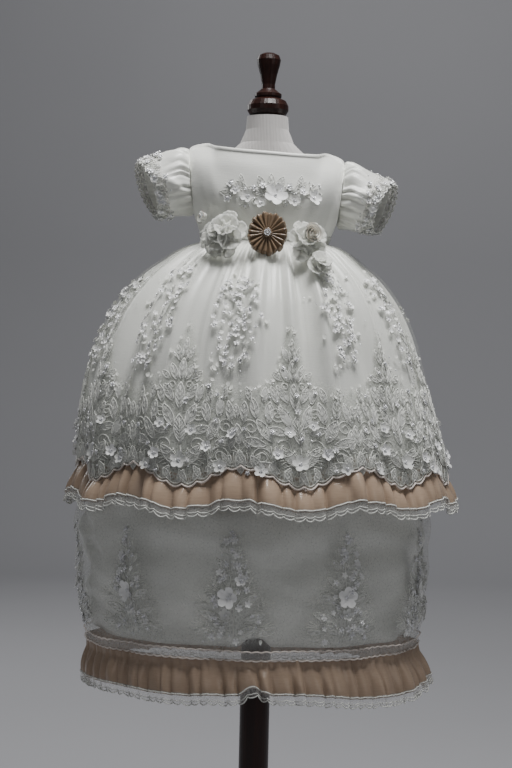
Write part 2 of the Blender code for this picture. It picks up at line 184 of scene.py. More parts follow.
ivory = satin("ivory_satin", (0.87, 0.875, 0.835), (0.77, 0.775, 0.72), 0.30, 0.1)
lining_satin = satin("lining_satin", (0.86, 0.865, 0.82), (0.74, 0.745, 0.69), 0.22, 0.05)
champagne = satin("champagne_satin", (0.52, 0.39, 0.29), (0.27, 0.19, 0.13), 0.22, 0.05)
gold = satin("gold_satin", (0.25, 0.175, 0.112), (0.13, 0.086, 0.052), 0.25, 0.05)
rose_satin = satin("rose_satin", (0.92, 0.90, 0.83), (0.86, 0.83, 0.74), 0.35)
tulle = netting("embroidered_tulle", (0.72, 0.735, 0.68), 0.10, 0.95, (0.54, 0.56, 0.505))
organza = netting("organza", (0.84, 0.85, 0.81), 0.20, 0.95)
edging = netting("edging_net", (0.86, 0.84, 0.80), 0.16, 0.95)


def corded(name, scale, light, dark):
    """Twisted thread, with a fine uneven twist in its colour, gloss and surface."""
    paint = Paint(name, Sheen_Weight=0.3, Specular_IOR_Level=0.4)
    twist = paint.noise(scale, 2.0)
    paint.feed(Base_Color=paint.mix(twist, light, dark), Roughness=twist * 0.3 + 0.4)
    return paint.bump(twist, 0.0003).material


lace_thread = corded("lace_thread", 700.0, (0.87, 0.875, 0.83), (0.68, 0.69, 0.635))
blush_cord = corded("blush_cord", 500.0, (0.93, 0.85, 0.79), (0.82, 0.72, 0.65))


def petal_cloth(name, light, dark, alpha, roughness, glow=0.0):
    """Thin petal cloth, uneven and faintly veined. Glow lets light through it."""
    paint = Paint(name, Sheen_Weight=0.4, Specular_IOR_Level=0.4, Subsurface_Weight=glow,
                  Subsurface_Radius=(1.0, 1.0, 1.0), Subsurface_Scale=0.006)
    cloud = paint.noise(110.0, 3.0)
    veins = paint.noise(500.0, 2.0)
    paint.feed(Base_Color=paint.mix(cloud, light, dark), Roughness=cloud * 0.2 + roughness)
    paint.feed(Alpha=cloud * 0.1 + (alpha - 0.05))
    return paint.bump(veins, 0.0003).material


chiffon = petal_cloth("cream_chiffon", (0.98, 0.985, 0.92), (0.93, 0.94, 0.85), 0.74, 0.45, 0.5)
white_petal = petal_cloth("white_petal", (0.95, 0.95, 0.94), (0.90, 0.90, 0.88), 1.0, 0.32)
sheer_petal = petal_cloth("sheer_petal", (0.90, 0.90, 0.88), (0.84, 0.85, 0.82), 0.7, 0.4)
leaf_fill = petal_cloth("leaf_fill", (0.90, 0.90, 0.87), (0.80, 0.81, 0.77), 0.60, 0.5)

# %% Beads, wood and jersey
paint = Paint("silver_bead", Metallic=0.35, Coat_Weight=1.0, Coat_Roughness=0.05)
cloud = paint.noise(300.0, 1.0)
paint.feed(Base_Color=paint.mix(cloud, (0.96, 0.96, 0.97), (0.82, 0.83, 0.86)))
silver_bead = paint.feed(Roughness=cloud * 0.12 + 0.1).material

paint = Paint("dark_mahogany", Coat_Weight=0.12, Coat_Roughness=0.2, Specular_IOR_Level=0.3)
grain = paint.noise(60.0, 6.0, stretch=(1.0, 1.0, 0.06))
pores = paint.noise(600.0, 2.0, stretch=(1.0, 1.0, 0.04))
tones = (
    (0.25, (0.008, 0.003, 0.002)), (0.50, (0.020, 0.006, 0.004)), (0.78, (0.045, 0.013, 0.007)),
)
paint.feed(Base_Color=paint.ramp(grain * 0.75 + pores * 0.25, *tones))
mahogany = paint.feed(Roughness=pores * 0.25 + 0.22).bump(pores, 0.00015).material

paint = Paint("grey_jersey", Sheen_Weight=0.3, Specular_IOR_Level=0.2)
ribs = paint.node("ShaderNodeTexWave", inputs={"Vector": paint.place, "Scale": 160.0})
cloud = paint.noise(35.0, 3.0)
paint.feed(Base_Color=paint.mix(cloud, (0.58, 0.56, 0.54), (0.48, 0.46, 0.45)))
jersey = paint.feed(Roughness=cloud * 0.1 + 0.82).bump(ribs, 0.0003).material

for name in ("stand_base", "stand_pole", "neck_cap", "finial"):
    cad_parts[name].data.materials[0] = mahogany
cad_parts["dress_form"].data.materials[0] = jersey
for number in range(1, 5):
    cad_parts[f"back_button_{number}"].data.materials[0] = ivory
print("materials:", len(bpy.data.materials))

# %% [markdown]
# ## The gown's sections
# The same short tables that shaped the solids shape the cloth, so each sheet lies in the place of
# its solid. Heights are metres above the floor.

# %% Sizes and tables
WAIST, UNDERARM, SLOPE = 0.856, 0.888, 0.065
OVERLAY_EDGE, SCALLOP_DEPTH, SCALLOP_FIRST, SCALLOPS = 0.553, 0.0125, 12.0, 10
SATIN_EDGE, LINING_EDGE, TIER_SEAM, HEM = 0.574, 0.338, 0.324, 0.277
PITCH = 360 / SCALLOPS  # degrees from one big scallop to the next
MM_ROUND = 4.1  # millimetres of skirt in one degree
FLUTES = 12  # wide folds round the whole skirt
SATIN_WALL, FINE_WALL = 0.0006, 0.0004  # cloth thickness, in metres
OVERLAY = np.array(
    (
        # height, half width, depth share, shift, fold
        (0.535, 0.2455, 0.86, 0.004, 0.0045),
        (0.583, 0.2425, 0.86, 0.000, 0.0050),
        (0.631, 0.2345, 0.86, -0.006, 0.0045),
        (0.686, 0.2200, 0.86, -0.009, 0.0040),
        (0.735, 0.2020, 0.86, -0.008, 0.0035),
        (0.783, 0.1750, 0.86, -0.006, 0.0030),
        (0.825, 0.1360, 0.85, -0.003, 0.0020),
        (0.848, 0.1050, 0.83, -0.001, 0.0010),
        (0.8557, 0.0856, 0.81, 0.000, 0.0),
    )
)
TIER = np.array(
    (
        (0.324, 0.2210, 0.86, -0.006, 0.0015),
        (0.355, 0.2270, 0.86, -0.006, 0.0025),
        (0.424, 0.2340, 0.86, -0.008, 0.0030),
        (0.493, 0.2350, 0.86, -0.008, 0.0030),
        (0.530, 0.2290, 0.86, -0.003, 0.0020),
        (0.552, 0.2255, 0.86, 0.000, 0.0010),
    )
)
LINING = np.array(
    (
        (0.338, 0.2110, 0.86, -0.006, 0.0020),
        (0.424, 0.2230, 0.86, -0.008, 0.0020),
        (0.493, 0.2250, 0.86, -0.008, 0.0020),
        (0.552, 0.2215, 0.86, 0.000, 0.0010),
        (0.640, 0.2160, 0.86, -0.006, 0.0030),
        (0.735, 0.1840, 0.86, -0.008, 0.0020),
        (0.783, 0.1570, 0.86, -0.006, 0.0020),
        (0.825, 0.1175, 0.85, -0.003, 0.0010),
        (0.852, 0.0835, 0.82, -0.001, 0.0),
    )
)


def smooth(table, at):
    """The columns of a table at these heights, on smooth curves through its rows."""
    x, at = table[:, 0], np.asarray(at, float)
    slope = np.gradient(table[:, 1:], x, axis=0)
    i = np.clip(np.searchsorted(x, at) - 1, 0, len(x) - 2)
    span = x[i + 1] - x[i]
    t = np.clip((at - x[i]) / span, 0, 1)[..., None]
    low, high, span = table[i, 1:], table[i + 1, 1:], span[..., None]
    bend = slope[i] * span * (t**3 - 2 * t**2 + t) + slope[i + 1] * span * (t**3 - t**2)
    return low * (2 * t**3 - 3 * t**2 + 1) + high * (3 * t**2 - 2 * t**3) + bend


def matched(first, second):
    """Two numbers or arrays as float arrays of one shape."""
    return np.broadcast_arrays(np.asarray(first, float), np.asarray(second, float))


def around(table, angle, height, out=0.0):
    """Points of a skirt at angles in degrees from the front, out beyond its section."""
    angle, height = matched(angle, height)
    wide, share, shift, fold = np.moveaxis(smooth(table, height), -1, 0)
    turn = np.radians(angle)
    reach = out + fold * np.cos(FLUTES * turn)
    across = shift + (wide + reach) * np.sin(turn)
    return np.stack((across, -(wide * share + reach) * np.cos(turn), height), -1)


def waves(angle, count, seed, wander=0.35):
    """Uneven folds round the body, between -1 and 1: count of them, no two quite alike."""
    rng = np.random.default_rng(seed)
    turn = np.radians(angle)
    drift = sum(
        rng.uniform(-1, 1) * np.cos(k * turn + rng.uniform(0, 2 * np.pi)) for k in (1, 2, 3, 5, 7)
    )
    size = 0.75 + 0.25 * np.cos(3 * turn + seed) * np.cos(7 * turn + 2 * seed)
    phase = count * turn + wander * drift * count / 8
    return size * (np.cos(phase) + 0.28 * np.cos(2 * phase + 0.6)) / 1.28


def ease(low, high, value):
    """0 below low, 1 above high and a soft step between."""
    t = np.clip((np.asarray(value, float) - low) / (high - low), 0, 1)
    return t * t * (3 - 2 * t)


def over_pole(angle):
    """1 right in front of the pole, where the hem lifts, and 0 a few degrees to either side."""
    return np.exp(-((((angle + 180) % 360 - 181) / 4.4) ** 4))


# %% [markdown]
# ## From points to cloth
# A sheet is a grid of points, row by row from its lower edge. Each corner gets a UV in metres,
# and the figure value of each point tells a net where embroidery fills it.

# %% Building meshes


def piece(name, points, faces, material):
    """A mesh that rides on the body. Its faces take smooth shading."""
    mesh = bpy.data.meshes.new(name)
    mesh.from_pydata(np.asarray(points).reshape(-1, 3).tolist(), [], faces)
    mesh.validate()
    mesh.materials.append(material)
    mesh.shade_smooth()
    made = bpy.data.objects.new(name, mesh)
    bpy.context.scene.collection.objects.link(made)
    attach(made, "root")
    return made


def thicken(made, wall, offset=-1.0):
    """Gives a sheet its wall: behind it, or half to each side with offset 0."""
    solid = made.modifiers.new("wall", "SOLIDIFY")
    solid.thickness, solid.offset = wall, offset
    bpy.context.view_layer.objects.active = made
    bpy.ops.object.modifier_apply(modifier=solid.name)


def sheet(name, grid, material, closed=True, figure=None, wall=0.0):
    """A sheet through a grid of points, its columns running anticlockwise seen from above."""
    rows, columns = grid.shape[:2]
    last = columns if closed else columns - 1
    faces, corners = [], []
    wide = np.linalg.norm(np.diff(grid, axis=1), axis=2).mean()
    tall = np.linalg.norm(np.diff(grid, axis=0), axis=2).mean()
    for r in range(rows - 1):
        for c in range(last):
            n = (c + 1) % columns
            faces.append(
                (r * columns + c, r * columns + n, (r + 1) * columns + n, (r + 1) * columns + c)
            )
            corners += [(c, r), (c + 1, r), (c + 1, r + 1), (c, r + 1)]
    made = piece(name, grid, faces, material)
    layer = made.data.uv_layers.new(name="cut")
    layer.data.foreach_set("uv", (np.array(corners) * (wide, tall)).ravel())
    if figure is not None:
        values = made.data.attributes.new("figure", "FLOAT", "POINT")
        values.data.foreach_set("value", np.asarray(figure, float).ravel())
    if wall:
        thicken(made, wall)
    return made


def cords(name, paths, radius, material, flatten=0.7):
    """Threads sewn on cloth: three-sided cords along (points, normals) paths, one mesh for all."""
    points, faces, base = [], [], 0
    for line, normal in paths:
        along = np.gradient(line, axis=0)
        along /= np.linalg.norm(along, axis=1)[:, None] + 1e-12
        side = np.cross(along, normal)
        side /= np.linalg.norm(side, axis=1)[:, None] + 1e-12
        up = np.cross(side, along)
        ring = [(math.cos(a), math.sin(a) * flatten) for a in (-0.52, math.pi / 2, 3.67)]
        points.append(
            np.stack([line + radius * (c * side + s * up) for c, s in ring], 1).reshape(-1, 3)
        )
        count = len(line)
        for i in range(count - 1):
            for k in range(3):
                a, b = base + 3 * i + k, base + 3 * i + (k + 1) % 3
                faces.append((a, b, b + 3, a + 3))
        faces.append((base + 2, base + 1, base))
        end = base + 3 * (count - 1)
        faces.append((end, end + 1, end + 2))
        base += 3 * count
    return piece(name, np.concatenate(points), faces, material)


def stamps(name, shape, places, material):
    """Copies of one small shape. A place is a point, a normal, a size and a turn in radians."""
    local, pattern = shape
    points, faces = [], []
    for number, (point, normal, size, turn) in enumerate(places):
        normal = np.asarray(normal) / np.linalg.norm(normal)
        right = np.cross((0.0, 0.0, 1.0), normal)
        if np.linalg.norm(right) < 1e-3:
            right = np.array((1.0, 0.0, 0.0))
        right /= np.linalg.norm(right)
        up = np.cross(normal, right)
        c, s = math.cos(turn), math.sin(turn)
        axes = np.stack((c * right + s * up, c * up - s * right, normal))
        points.append(np.asarray(point) + size * local @ axes)
        faces += [tuple(i + number * len(local) for i in face) for face in pattern]
    return piece(name, np.concatenate(points), faces, material)


def tally(*made):
    """Prints what was made."""
    for one in made:
        one.data.calc_loop_triangles()
        print(f"{one.name}: {len(one.data.loop_triangles)} triangles")


# %% [markdown]
# ## Upper skirt
# Gathers start tight at the waist and open into long soft folds. The satin and the tulle over it
# share one fold field, so the net always floats the same way over the satin.

# %% Satin skirt and lining


def pleats(angle, folds, seed):
    """Uneven pillowy folds with narrow grooves between them: 1 on a crest and -1 in a groove."""
    rng = np.random.default_rng(seed)
    turn = np.radians(angle)
    drift = sum(rng.uniform(-1, 1) * np.cos(k * turn + rng.uniform(0, 6.3)) / k**0.5
                for k in (2, 3, 5, 7, 11, 13, 17))
    size = 0.78 + 0.22 * np.cos(9 * turn + 2 * np.sin(4 * turn + seed))
    return size * (2 * np.abs(np.sin(folds / 2 * turn + 1.5 * drift)) ** 0.62 - 1)


def skirt_folds(angle, height):
    """How far the upper skirt stands in or out, in metres."""
    below = WAIST - height
    near = np.exp(-below / 0.085) * ease(0, 0.006, below)
    mid = ease(0.0, 0.05, below) * (0.25 + 0.75 * ease(0.62, 0.76, height))
    gathers = 0.0046 * near * pleats(angle, 60, 3)
    folds = 0.0078 * mid * waves(angle, 23, 5) + 0.0042 * mid * pleats(angle, 36, 6)
    return gathers + folds


turns = np.linspace(0, 360, 421)[:-1]
heights = SATIN_EDGE + (0.8539 - SATIN_EDGE) * np.linspace(0, 1, 36) ** 0.85
angle, height = np.meshgrid(turns, heights)
inset = np.interp(height, (0.535, 0.735, 0.783, 0.842, 0.8557), (6.2, 6.2, 6.6, 8.0, 6.2)) / 1000
grid = around(OVERLAY, angle, height, skirt_folds(angle, height) + 0.0022 - inset)
satin_skirt = sheet("satin_skirt", grid, ivory, wall=SATIN_WALL)
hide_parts("upper_skirt_satin")

heights = np.concatenate((np.linspace(LINING_EDGE, 0.56, 40), np.linspace(0.58, 0.852, 9)))
angle, height = np.meshgrid(np.linspace(0, 360, 281)[:-1], heights)
low = ease(0.60, 0.52, height)
crumple = 0.0046 * np.sin(66 * height + 2.6 * waves(angle, 4, 11) + 0.4) * low
crumple += 0.0018 * np.sin(150 * height + 2.2 * waves(angle + 300 * height, 5, 2)) * low
crumple += 0.0020 * waves(angle + 250 * height, 13, 8) * low
notch = over_pole(angle) * ease(0.375, 0.340, height)
grid = around(LINING, angle, height + 0.012 * notch, crumple)
lining = sheet("satin_lining", grid, lining_satin, wall=SATIN_WALL)
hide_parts("skirt_lining")
tally(satin_skirt, lining)

# %% [markdown]
# The overlay is a straight length of embroidered tulle. Its lower edge has ten big scallops, and
# each is made of eight small ones.

# %% Lace overlay
LOBES = 80


def big_scallop(angle):
    return np.cos(np.radians(SCALLOPS * (angle - SCALLOP_FIRST)))


def small_scallop(angle, lobes=LOBES):
    """0 in the notches between small scallops and 1 at their tips."""
    return np.abs(np.sin(np.radians(lobes / 2 * (angle - SCALLOP_FIRST))))


def overlay_edge(angle):
    return OVERLAY_EDGE - SCALLOP_DEPTH * big_scallop(angle) - 0.0042 * small_scallop(angle)


def overlay_point(angle, height, out=0.0):
    """A point on the tulle."""
    angle, height = matched(angle, height)
    return around(OVERLAY, angle, height, skirt_folds(angle, height) + out)


def facing(function, angle, height):
    """The outward normals of a skirt function."""
    across = function(angle + 0.2, height) - function(angle - 0.2, height)
    upward = function(angle, height + 0.001) - function(angle, height - 0.001)
    normal = np.cross(across, upward)
    return normal / np.linalg.norm(normal, axis=-1)[..., None]


def border_top(angle):
    """Height of the embroidered border: tall plumes over the scallops, low between them."""
    near = 0.5 + 0.5 * big_scallop(angle)
    return 0.655 + 0.020 * near + 0.062 * near**9


turns = np.linspace(0, 360, 9 * LOBES + 1)[:-1]
share = np.linspace(0, 1, 47)[:, None] ** 0.90
height = overlay_edge(turns) + (0.8556 - overlay_edge(turns)) * share
angle = np.broadcast_to(turns, height.shape)
figure = 0.85 * ease(0.012, -0.010, height - border_top(angle)) + 0.02
overlay = sheet("lace_overlay_net", overlay_point(angle, height), tulle, figure=figure)
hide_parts("lace_overlay")
tally(overlay)

# %% [markdown]
# ## Lace figures
# The embroidery is drawn once for half of one scallop, mirrored, and repeated ten times round the
# skirt: scrolls, veined leaves and fans of fine threads. Each line is a real cord on the tulle.
# Lengths in the drawing are millimetres from the middle of a scallop and above the mean edge.

# %% Drawing tools


class Drawing:
    """Bold lines, fine lines and filled leaves of one motif, in millimetres."""

    def __init__(self):
        self.bold, self.fine, self.fills = [], [], []

    def put(self, kind, lines, x, y, heading):
        c, s = math.cos(math.radians(heading)), math.sin(math.radians(heading))
        turned = [np.asarray(line) @ np.array(((c, s), (-s, c))) + (x, y) for line in lines]
        getattr(self, kind).extend(turned)

    def scroll(self, x, y, radius, turns, start, hand=1):
        """A spiral that winds in round a centre."""
        t = np.linspace(0, 1, int(13 * turns) + 2)
        reach, turn = radius * (1 - 0.80 * t), math.radians(start) + hand * 2 * np.pi * turns * t
        self.put("bold", [np.stack((reach * np.cos(turn), reach * np.sin(turn)), 1)], x, y, 0)

    def leaf(self, x, y, heading, length, width, veins=3):
        """A pointed leaf that grows from its base along its heading."""
        t = np.linspace(0, 1, 8)
        bow = width / 2 * np.sin(np.pi * t) ** 0.8
        sides = [np.stack((length * t, bow), 1), np.stack((length * t, -bow), 1)]
        self.put("bold", sides, x, y, heading)
        self.put("fills", [np.concatenate(sides)], x, y, heading)
        lines = [np.stack((length * t[::3], 0 * t[::3]), 1)]
        for at in np.linspace(0.12, 0.62, veins):
            far = at + 0.26
            half = width / 2 * math.sin(math.pi * far) ** 0.8 * 0.94
            lines += [np.array(((length * at, 0.0), (length * far, h))) for h in (-half, half)]
        self.put("fine", lines, x, y, heading)

    def fan(self, x, y, heading, spread, count, length):
        """Fine curved threads that spread from a point."""
        lines, t = [], np.linspace(0, 1, 4)
        for lean in np.linspace(-spread / 2, spread / 2, count):
            bend = math.radians(1) * lean * (0.6 + 0.5 * t)
            far = length * (1 - 0.25 * abs(lean) / spread) * t
            lines.append(np.stack((far * np.cos(bend), far * np.sin(bend)), 1))
        self.put("fine", lines, x, y, heading)

    def mirror(self):
        for lines in (self.bold, self.fine, self.fills):
            lines.extend([line * (-1, 1) for line in lines])
        return self


# %% The border's drawing
border = Drawing()
for spiral in (
    (20, 40, 13, 1.6, 200), (49, 28, 12, 1.6, 160, -1), (25, 80, 10, 1.5, 230),
    (58, 64, 10, 1.5, 10), (11, 114, 6.5, 1.4, 250),
):
    border.scroll(*spiral)
for blade in (
    (3, 14, 50, 34, 13), (28, 8, 28, 28, 12), (50, 8, 62, 24, 10), (34, 46, 60, 32, 13),
    (42, 42, 16, 27, 11), (62, 36, 80, 27, 11), (7, 62, 64, 32, 12), (14, 56, 16, 24, 10),
    (36, 68, 98, 28, 11), (50, 74, 82, 27, 10), (66, 70, 96, 26, 10), (8, 94, 56, 26, 10),
    (5, 120, 62, 24, 9), (4, 144, 66, 22, 8), (22, 92, 72, 24, 9), (15, 122, 38, 16, 7),
    (40, 94, 100, 20, 8), (56, 96, 74, 18, 7),
):
    border.leaf(*blade)
for burst in ((12, 24, 15, 70, 5, 20), (36, 20, 95, 70, 6, 22), (66, 14, 110, 70, 5, 20),
              (50, 48, 130, 50, 5, 16), (14, 80, 35, 60, 4, 16), (9, 106, 30, 60, 4, 13)):
    border.fan(*burst)
for number, x in enumerate(range(5, 74, 9)):
    edge = 6.5 - 12.5 * math.cos(math.radians(2.44 * x))
    border.leaf(x, edge, 90 + 28 * (-1) ** number, 17, 7, 2)
border.mirror()
for blade in ((0, 42, 90, 36, 15, 5), (0, 84, 90, 34, 12, 4), (0, 120, 90, 28, 10),
              (0, 148, 90, 26, 8)):
    border.leaf(*blade)
border.fan(0, 12, 90, 150, 9, 27)
for blade in ((73, 6, 90, 30, 13), (73, 42, 90, 26, 11), (73, 74, 90, 18, 8)):
    border.leaf(*blade)
border.fan(73, 30, 90, 120, 5, 14)
print("lines in one scallop:", len(border.bold), "bold,", len(border.fine), "fine")

# %% Sewing a drawing to cloth


def sew(name, function, drawing, places, scale, widths=(0.00078, 0.00040), lift=0.0006):
    """Sews a drawing at several places. A place is an angle, a height and a hand, 1 or -1.
    scale turns millimetres into the cloth's own measures round and up."""
    for kind, radius in zip(("bold", "fine"), widths):
        paths = []
        for angle, height, hand in places:
            for line in getattr(drawing, kind):
                where = (angle + hand * line[:, 0] * scale[0], height + line[:, 1] * scale[1])
                paths.append((function(*where, lift), facing(function, *where)))
        tally(cords(f"{name}_{kind}", paths, radius, lace_thread))
    points, faces = [], []
    for angle, height, hand in places:
        for line in drawing.fills:
            base, half = len(points) * 16, 8
            where = (angle + hand * line[:, 0] * scale[0], height + line[:, 1] * scale[1])
            points.append(function(*where, lift * 0.6))
            for i in range(half - 1):
                face = (base + i, base + i + 1, base + half + i + 1, base + half + i)
                faces.append(face)
    made = piece(f"{name}_fills", np.concatenate(points), faces, leaf_fill)
    mesh = bmesh.new()
    mesh.from_mesh(made.data)
    mesh.normal_update()
    for face in mesh.faces:
        middle = face.calc_center_median()
        if face.normal.dot(Vector((middle.x, middle.y, 0.0))) < 0:
            face.normal_flip()
    mesh.to_mesh(made.data)
    mesh.free()
    tally(made)


def along_edge(function, edge, columns, lift):
    """A closed line round a skirt, at the heights that edge gives."""
    angle = SCALLOP_FIRST + np.linspace(0, 360, columns + 1)
    return function(angle, edge(angle), lift), facing(function, angle, edge(angle))


SKIRT_SCALE = (1 / MM_ROUND, 0.001)
rng = np.random.default_rng(21)
middles = SCALLOP_FIRST + PITCH * np.arange(SCALLOPS)
border_places = [(m, OVERLAY_EDGE - 0.004, 1) for m in middles]
sew("border", overlay_point, border, border_places, SKIRT_SCALE)
paths = [along_edge(overlay_point, overlay_edge, LOBES * 8, 0.0009)]
overlay_cording = cords("overlay_cording", paths, 0.0015, blush_cord, 0.8)
paths = [along_edge(overlay_point, lambda a: overlay_edge(a) + 0.0042, LOBES * 7, 0.0007)]
inner_cording = cords("overlay_inner_cording", paths, 0.0007, lace_thread)
tally(overlay_cording, inner_cording)

# %% [markdown]
# ## Small flowers, petals, beads and leaves
# Each of these repeats hundreds of times, so its shape has only a few dozen faces. Each copy gets
# its own size and turn.

# %% Small shapes


def blossom_shape(petals=5, cup=0.30, notch=0.45):
    """A small flat flower: petals as lobes round a sunken middle."""
    around_it = 2 * np.pi * np.arange(4 * petals) / (4 * petals)
    lobe = (1 - notch) + notch * np.abs(np.cos(petals / 2 * around_it)) ** 0.7
    rows = [np.array(((0.0, 0.0, 0.05),))]
    for reach, rise in ((0.42, 0.10), (1.0, cup)):
        edge = reach * lobe
        wave = rise + 0.06 * np.cos(2 * petals * around_it)
        rows.append(np.stack((edge * np.cos(around_it), edge * np.sin(around_it), wave), 1))
    n = 4 * petals
    faces = [(0, 1 + i, 1 + (i + 1) % n) for i in range(n)]
    faces += [(1 + i, 1 + n + i, 1 + n + (i + 1) % n, 1 + (i + 1) % n) for i in range(n)]
    return np.concatenate(rows), faces


def petal_shape(width=0.62, cup=0.35, ruffle=0.05, columns=5, rows=5):
    """One cupped petal that grows from its base along +Y and faces +Z."""
    points = []
    for t in np.linspace(0, 1, rows):
        half_width = width * (0.22 + 0.78 * math.sin(math.pi * min(t * 0.62 + 0.06, 1.0)))
        for s in np.linspace(-1, 1, columns):
            round_end = t - 0.16 * t * s * s
            rise = cup * (t * t * 0.6 + 0.4 * s * s * t) + ruffle * t * math.sin(7 * s + 4 * t)
            points.append((s * half_width, round_end, rise))
    faces = [
        (r * columns + c, r * columns + c + 1, (r + 1) * columns + c + 1, (r + 1) * columns + c)
        for r in range(rows - 1)
        for c in range(columns - 1)
    ]
    return np.array(points), faces


def pick(solid, rule):
    """In edit mode, selects the faces that pass a rule."""
    mesh = bmesh.from_edit_mesh(solid.data)
    for face in mesh.faces:
        face.select_set(bool(rule(face)))
    mesh.select_flush_mode()
    bmesh.update_edit_mesh(solid.data)


def bead_shape():
    """A bead modelled from a ball: flat at both ends, and sunk where it is drilled."""
    bpy.ops.object.select_all(action="DESELECT")
    bpy.ops.mesh.primitive_uv_sphere_add(segments=6, ring_count=4, radius=1.0)
    ball = bpy.context.object
    bpy.ops.object.mode_set(mode="EDIT")
    bpy.ops.mesh.select_mode(type="FACE")
    for end in (1, -1):
        pick(ball, lambda face, end=end: face.calc_center_median().z * end > 0.6)
        bpy.ops.mesh.dissolve_faces()
    pick(ball, lambda face: face.normal.z > 0.95)
    bpy.ops.mesh.inset(thickness=0.24)
    bpy.ops.transform.translate(value=(0, 0, -0.18))
    bpy.ops.object.mode_set(mode="OBJECT")
    points = np.array([tuple(corner.co) for corner in ball.data.vertices])
    faces = [list(face.vertices) for face in ball.data.polygons]
    bpy.data.objects.remove(ball)
    # dissolving leaves corners and faces in any order, so both are put in one that never varies
    order = sorted(range(len(points)), key=lambda i: tuple(np.round(points[i], 4) + 0.0))
    faces = [[order.index(i) for i in face] for face in faces]
    turned = []
    for face in faces:
        first = face.index(min(face))
        turned.append(tuple(face[first:] + face[:first]))
    return points[order], sorted(turned)


def whole_flower(petals, tilt, **shape):
    """Petals set round a middle, each tilted up."""
    points, faces = petal_shape(**shape)
    c, s = math.cos(math.radians(tilt)), math.sin(math.radians(tilt))
    points = points @ np.array(((1, 0, 0), (0, c, s), (0, -s, c)))
    every, pattern = [], []
    for k in range(petals):
        a = 2 * np.pi * k / petals
        turn = np.array(((math.cos(a), math.sin(a), 0), (-math.sin(a), math.cos(a), 0), (0, 0, 1)))
        every.append(points @ turn + (0, 0, 0.02 * (k % 2)))
        pattern += [tuple(i + k * len(points) for i in face) for face in faces]
    return np.concatenate(every), pattern


def leaf_shape():
    """A small pointed leaf, folded a little along its middle."""
    edge = ((0, 0), (0.30, 0.26), (0.36, 0.55), (0.22, 0.82), (0, 1.0))
    points = [(x, y, 0.10 * x) for x, y in edge] + [(-x, y, 0.10 * x) for x, y in edge[1:4]]
    points += [(0.0, y, -0.04) for y in (0.26, 0.55, 0.82)]
    faces = [(0, 1, 8), (1, 2, 9, 8), (2, 3, 10, 9), (3, 4, 10)]
    faces += [(0, 8, 5), (5, 8, 9, 6), (6, 9, 10, 7), (7, 10, 4)]
    return np.array(points), faces


BLOSSOM, BEAD, LEAF = blossom_shape(), bead_shape(), leaf_shape()
PETALS = whole_flower(5, 13, width=0.37, cup=0.20, ruffle=0.04, columns=4, rows=4)
print("faces:", len(BLOSSOM[1]), len(BEAD[1]), len(LEAF[1]), len(PETALS[1]))

# %% Where they go on the upper skirt


class Trim:
    """Places for each kind of trim, filled bit by bit and stamped once."""

    def __init__(self, function, mm_round=MM_ROUND, metres_up=1.0):
        self.function, self.mm_round, self.metres_up = function, mm_round, metres_up
        self.kinds = {"blossom": [], "leaf": [], "bead": [], "petal": [], "sheer": []}

    def put(self, kind, angle, height, size, turn, lift=0.0008):
        point = self.function(np.array([angle]), np.array([height]), lift)[0]
        normal = facing(self.function, np.array([angle]), np.array([height]))[0]
        normal = normal + rng.normal(0, 0.12, 3) + (0, 0, 0.25)
        self.kinds[kind].append((point, normal, size, turn))

    def flower(self, angle, height, size, kind="blossom", beads=1):
        """A flower with beads in its middle."""
        self.put(kind, angle, height, size, rng.uniform(0, 6.3), 0.0012)
        for k in range(beads):
            a = 2 * np.pi * k / beads + rng.uniform(0, 1)
            off = 0.0 if beads == 1 else 1.5
            self.put(
                "bead",
                angle + off * math.cos(a) / self.mm_round,
                height + off * math.sin(a) / 1000 / self.metres_up,
                0.0015,
                0.0,
                0.0026,
            )

    def stamp(self, name, materials):
        shapes = {"blossom": BLOSSOM, "leaf": LEAF, "bead": BEAD, "petal": PETALS, "sheer": PETALS}
        for kind, places in self.kinds.items():
            if places:
                tally(stamps(f"{name}_{kind}s", shapes[kind], places, materials[kind]))


trim_materials = {
    "blossom": white_petal, "leaf": lace_thread, "bead": silver_bead,
    "petal": white_petal, "sheer": sheer_petal,
}
upper = Trim(overlay_point)
SATIN_FLOWERS = (
    # millimetres from the scallop's middle and above the edge, and size in millimetres
    (-30, 30, 8.5), (34, 34, 8.0), (62, 50, 7.0),
)
SHEER_FLOWERS = ((0, 22, 12.0), (-52, 16, 9.0), (50, 12, 9.5), (16, 58, 8.5), (-20, 66, 8.0))
for number in range(SCALLOPS):
    middle, base = SCALLOP_FIRST + PITCH * number, OVERLAY_EDGE - 0.004
    swap = 1 if number % 2 else -1

    def at(x, y, middle=middle, base=base):
        """Millimetres from this scallop's middle and above its edge, as an angle and a height."""
        return middle + x / MM_ROUND, base + y / 1000

    for x, y, size in SATIN_FLOWERS[: 2 + number % 2]:
        x, y = swap * x + rng.uniform(-5, 5), y + rng.uniform(-8, 8)
        upper.flower(*at(x, y), size / 1000, "petal", 3)
    for x, y, size in SHEER_FLOWERS:
        x, y = swap * x + rng.uniform(-4, 4), y + rng.uniform(-4, 4)
        upper.flower(*at(x, y), size / 1000, "sheer", 3)
    for k in range(18):
        angle, height = at(rng.uniform(-70, 70), rng.uniform(6, 150))
        if height < border_top(angle) + 0.006:
            size = rng.uniform(2.8, 4.4) / 1000
            upper.flower(angle, height, size, beads=int(rng.integers(1, 4)))
    for k in range(44):
        angle, height = at(rng.uniform(-70, 70), rng.uniform(4, 175))
        if height < border_top(angle) + 0.02:
            upper.put("bead", angle, height, rng.uniform(0.7, 1.25) / 1000, 0.0, 0.0014)
    for k in range(34):
        angle, _ = at(rng.uniform(-70, 70), 0)
        height = border_top(angle) + rng.uniform(-0.022, 0.010)
        upper.put("leaf", angle, height, rng.uniform(5, 8) / 1000, rng.normal(0, 0.7))

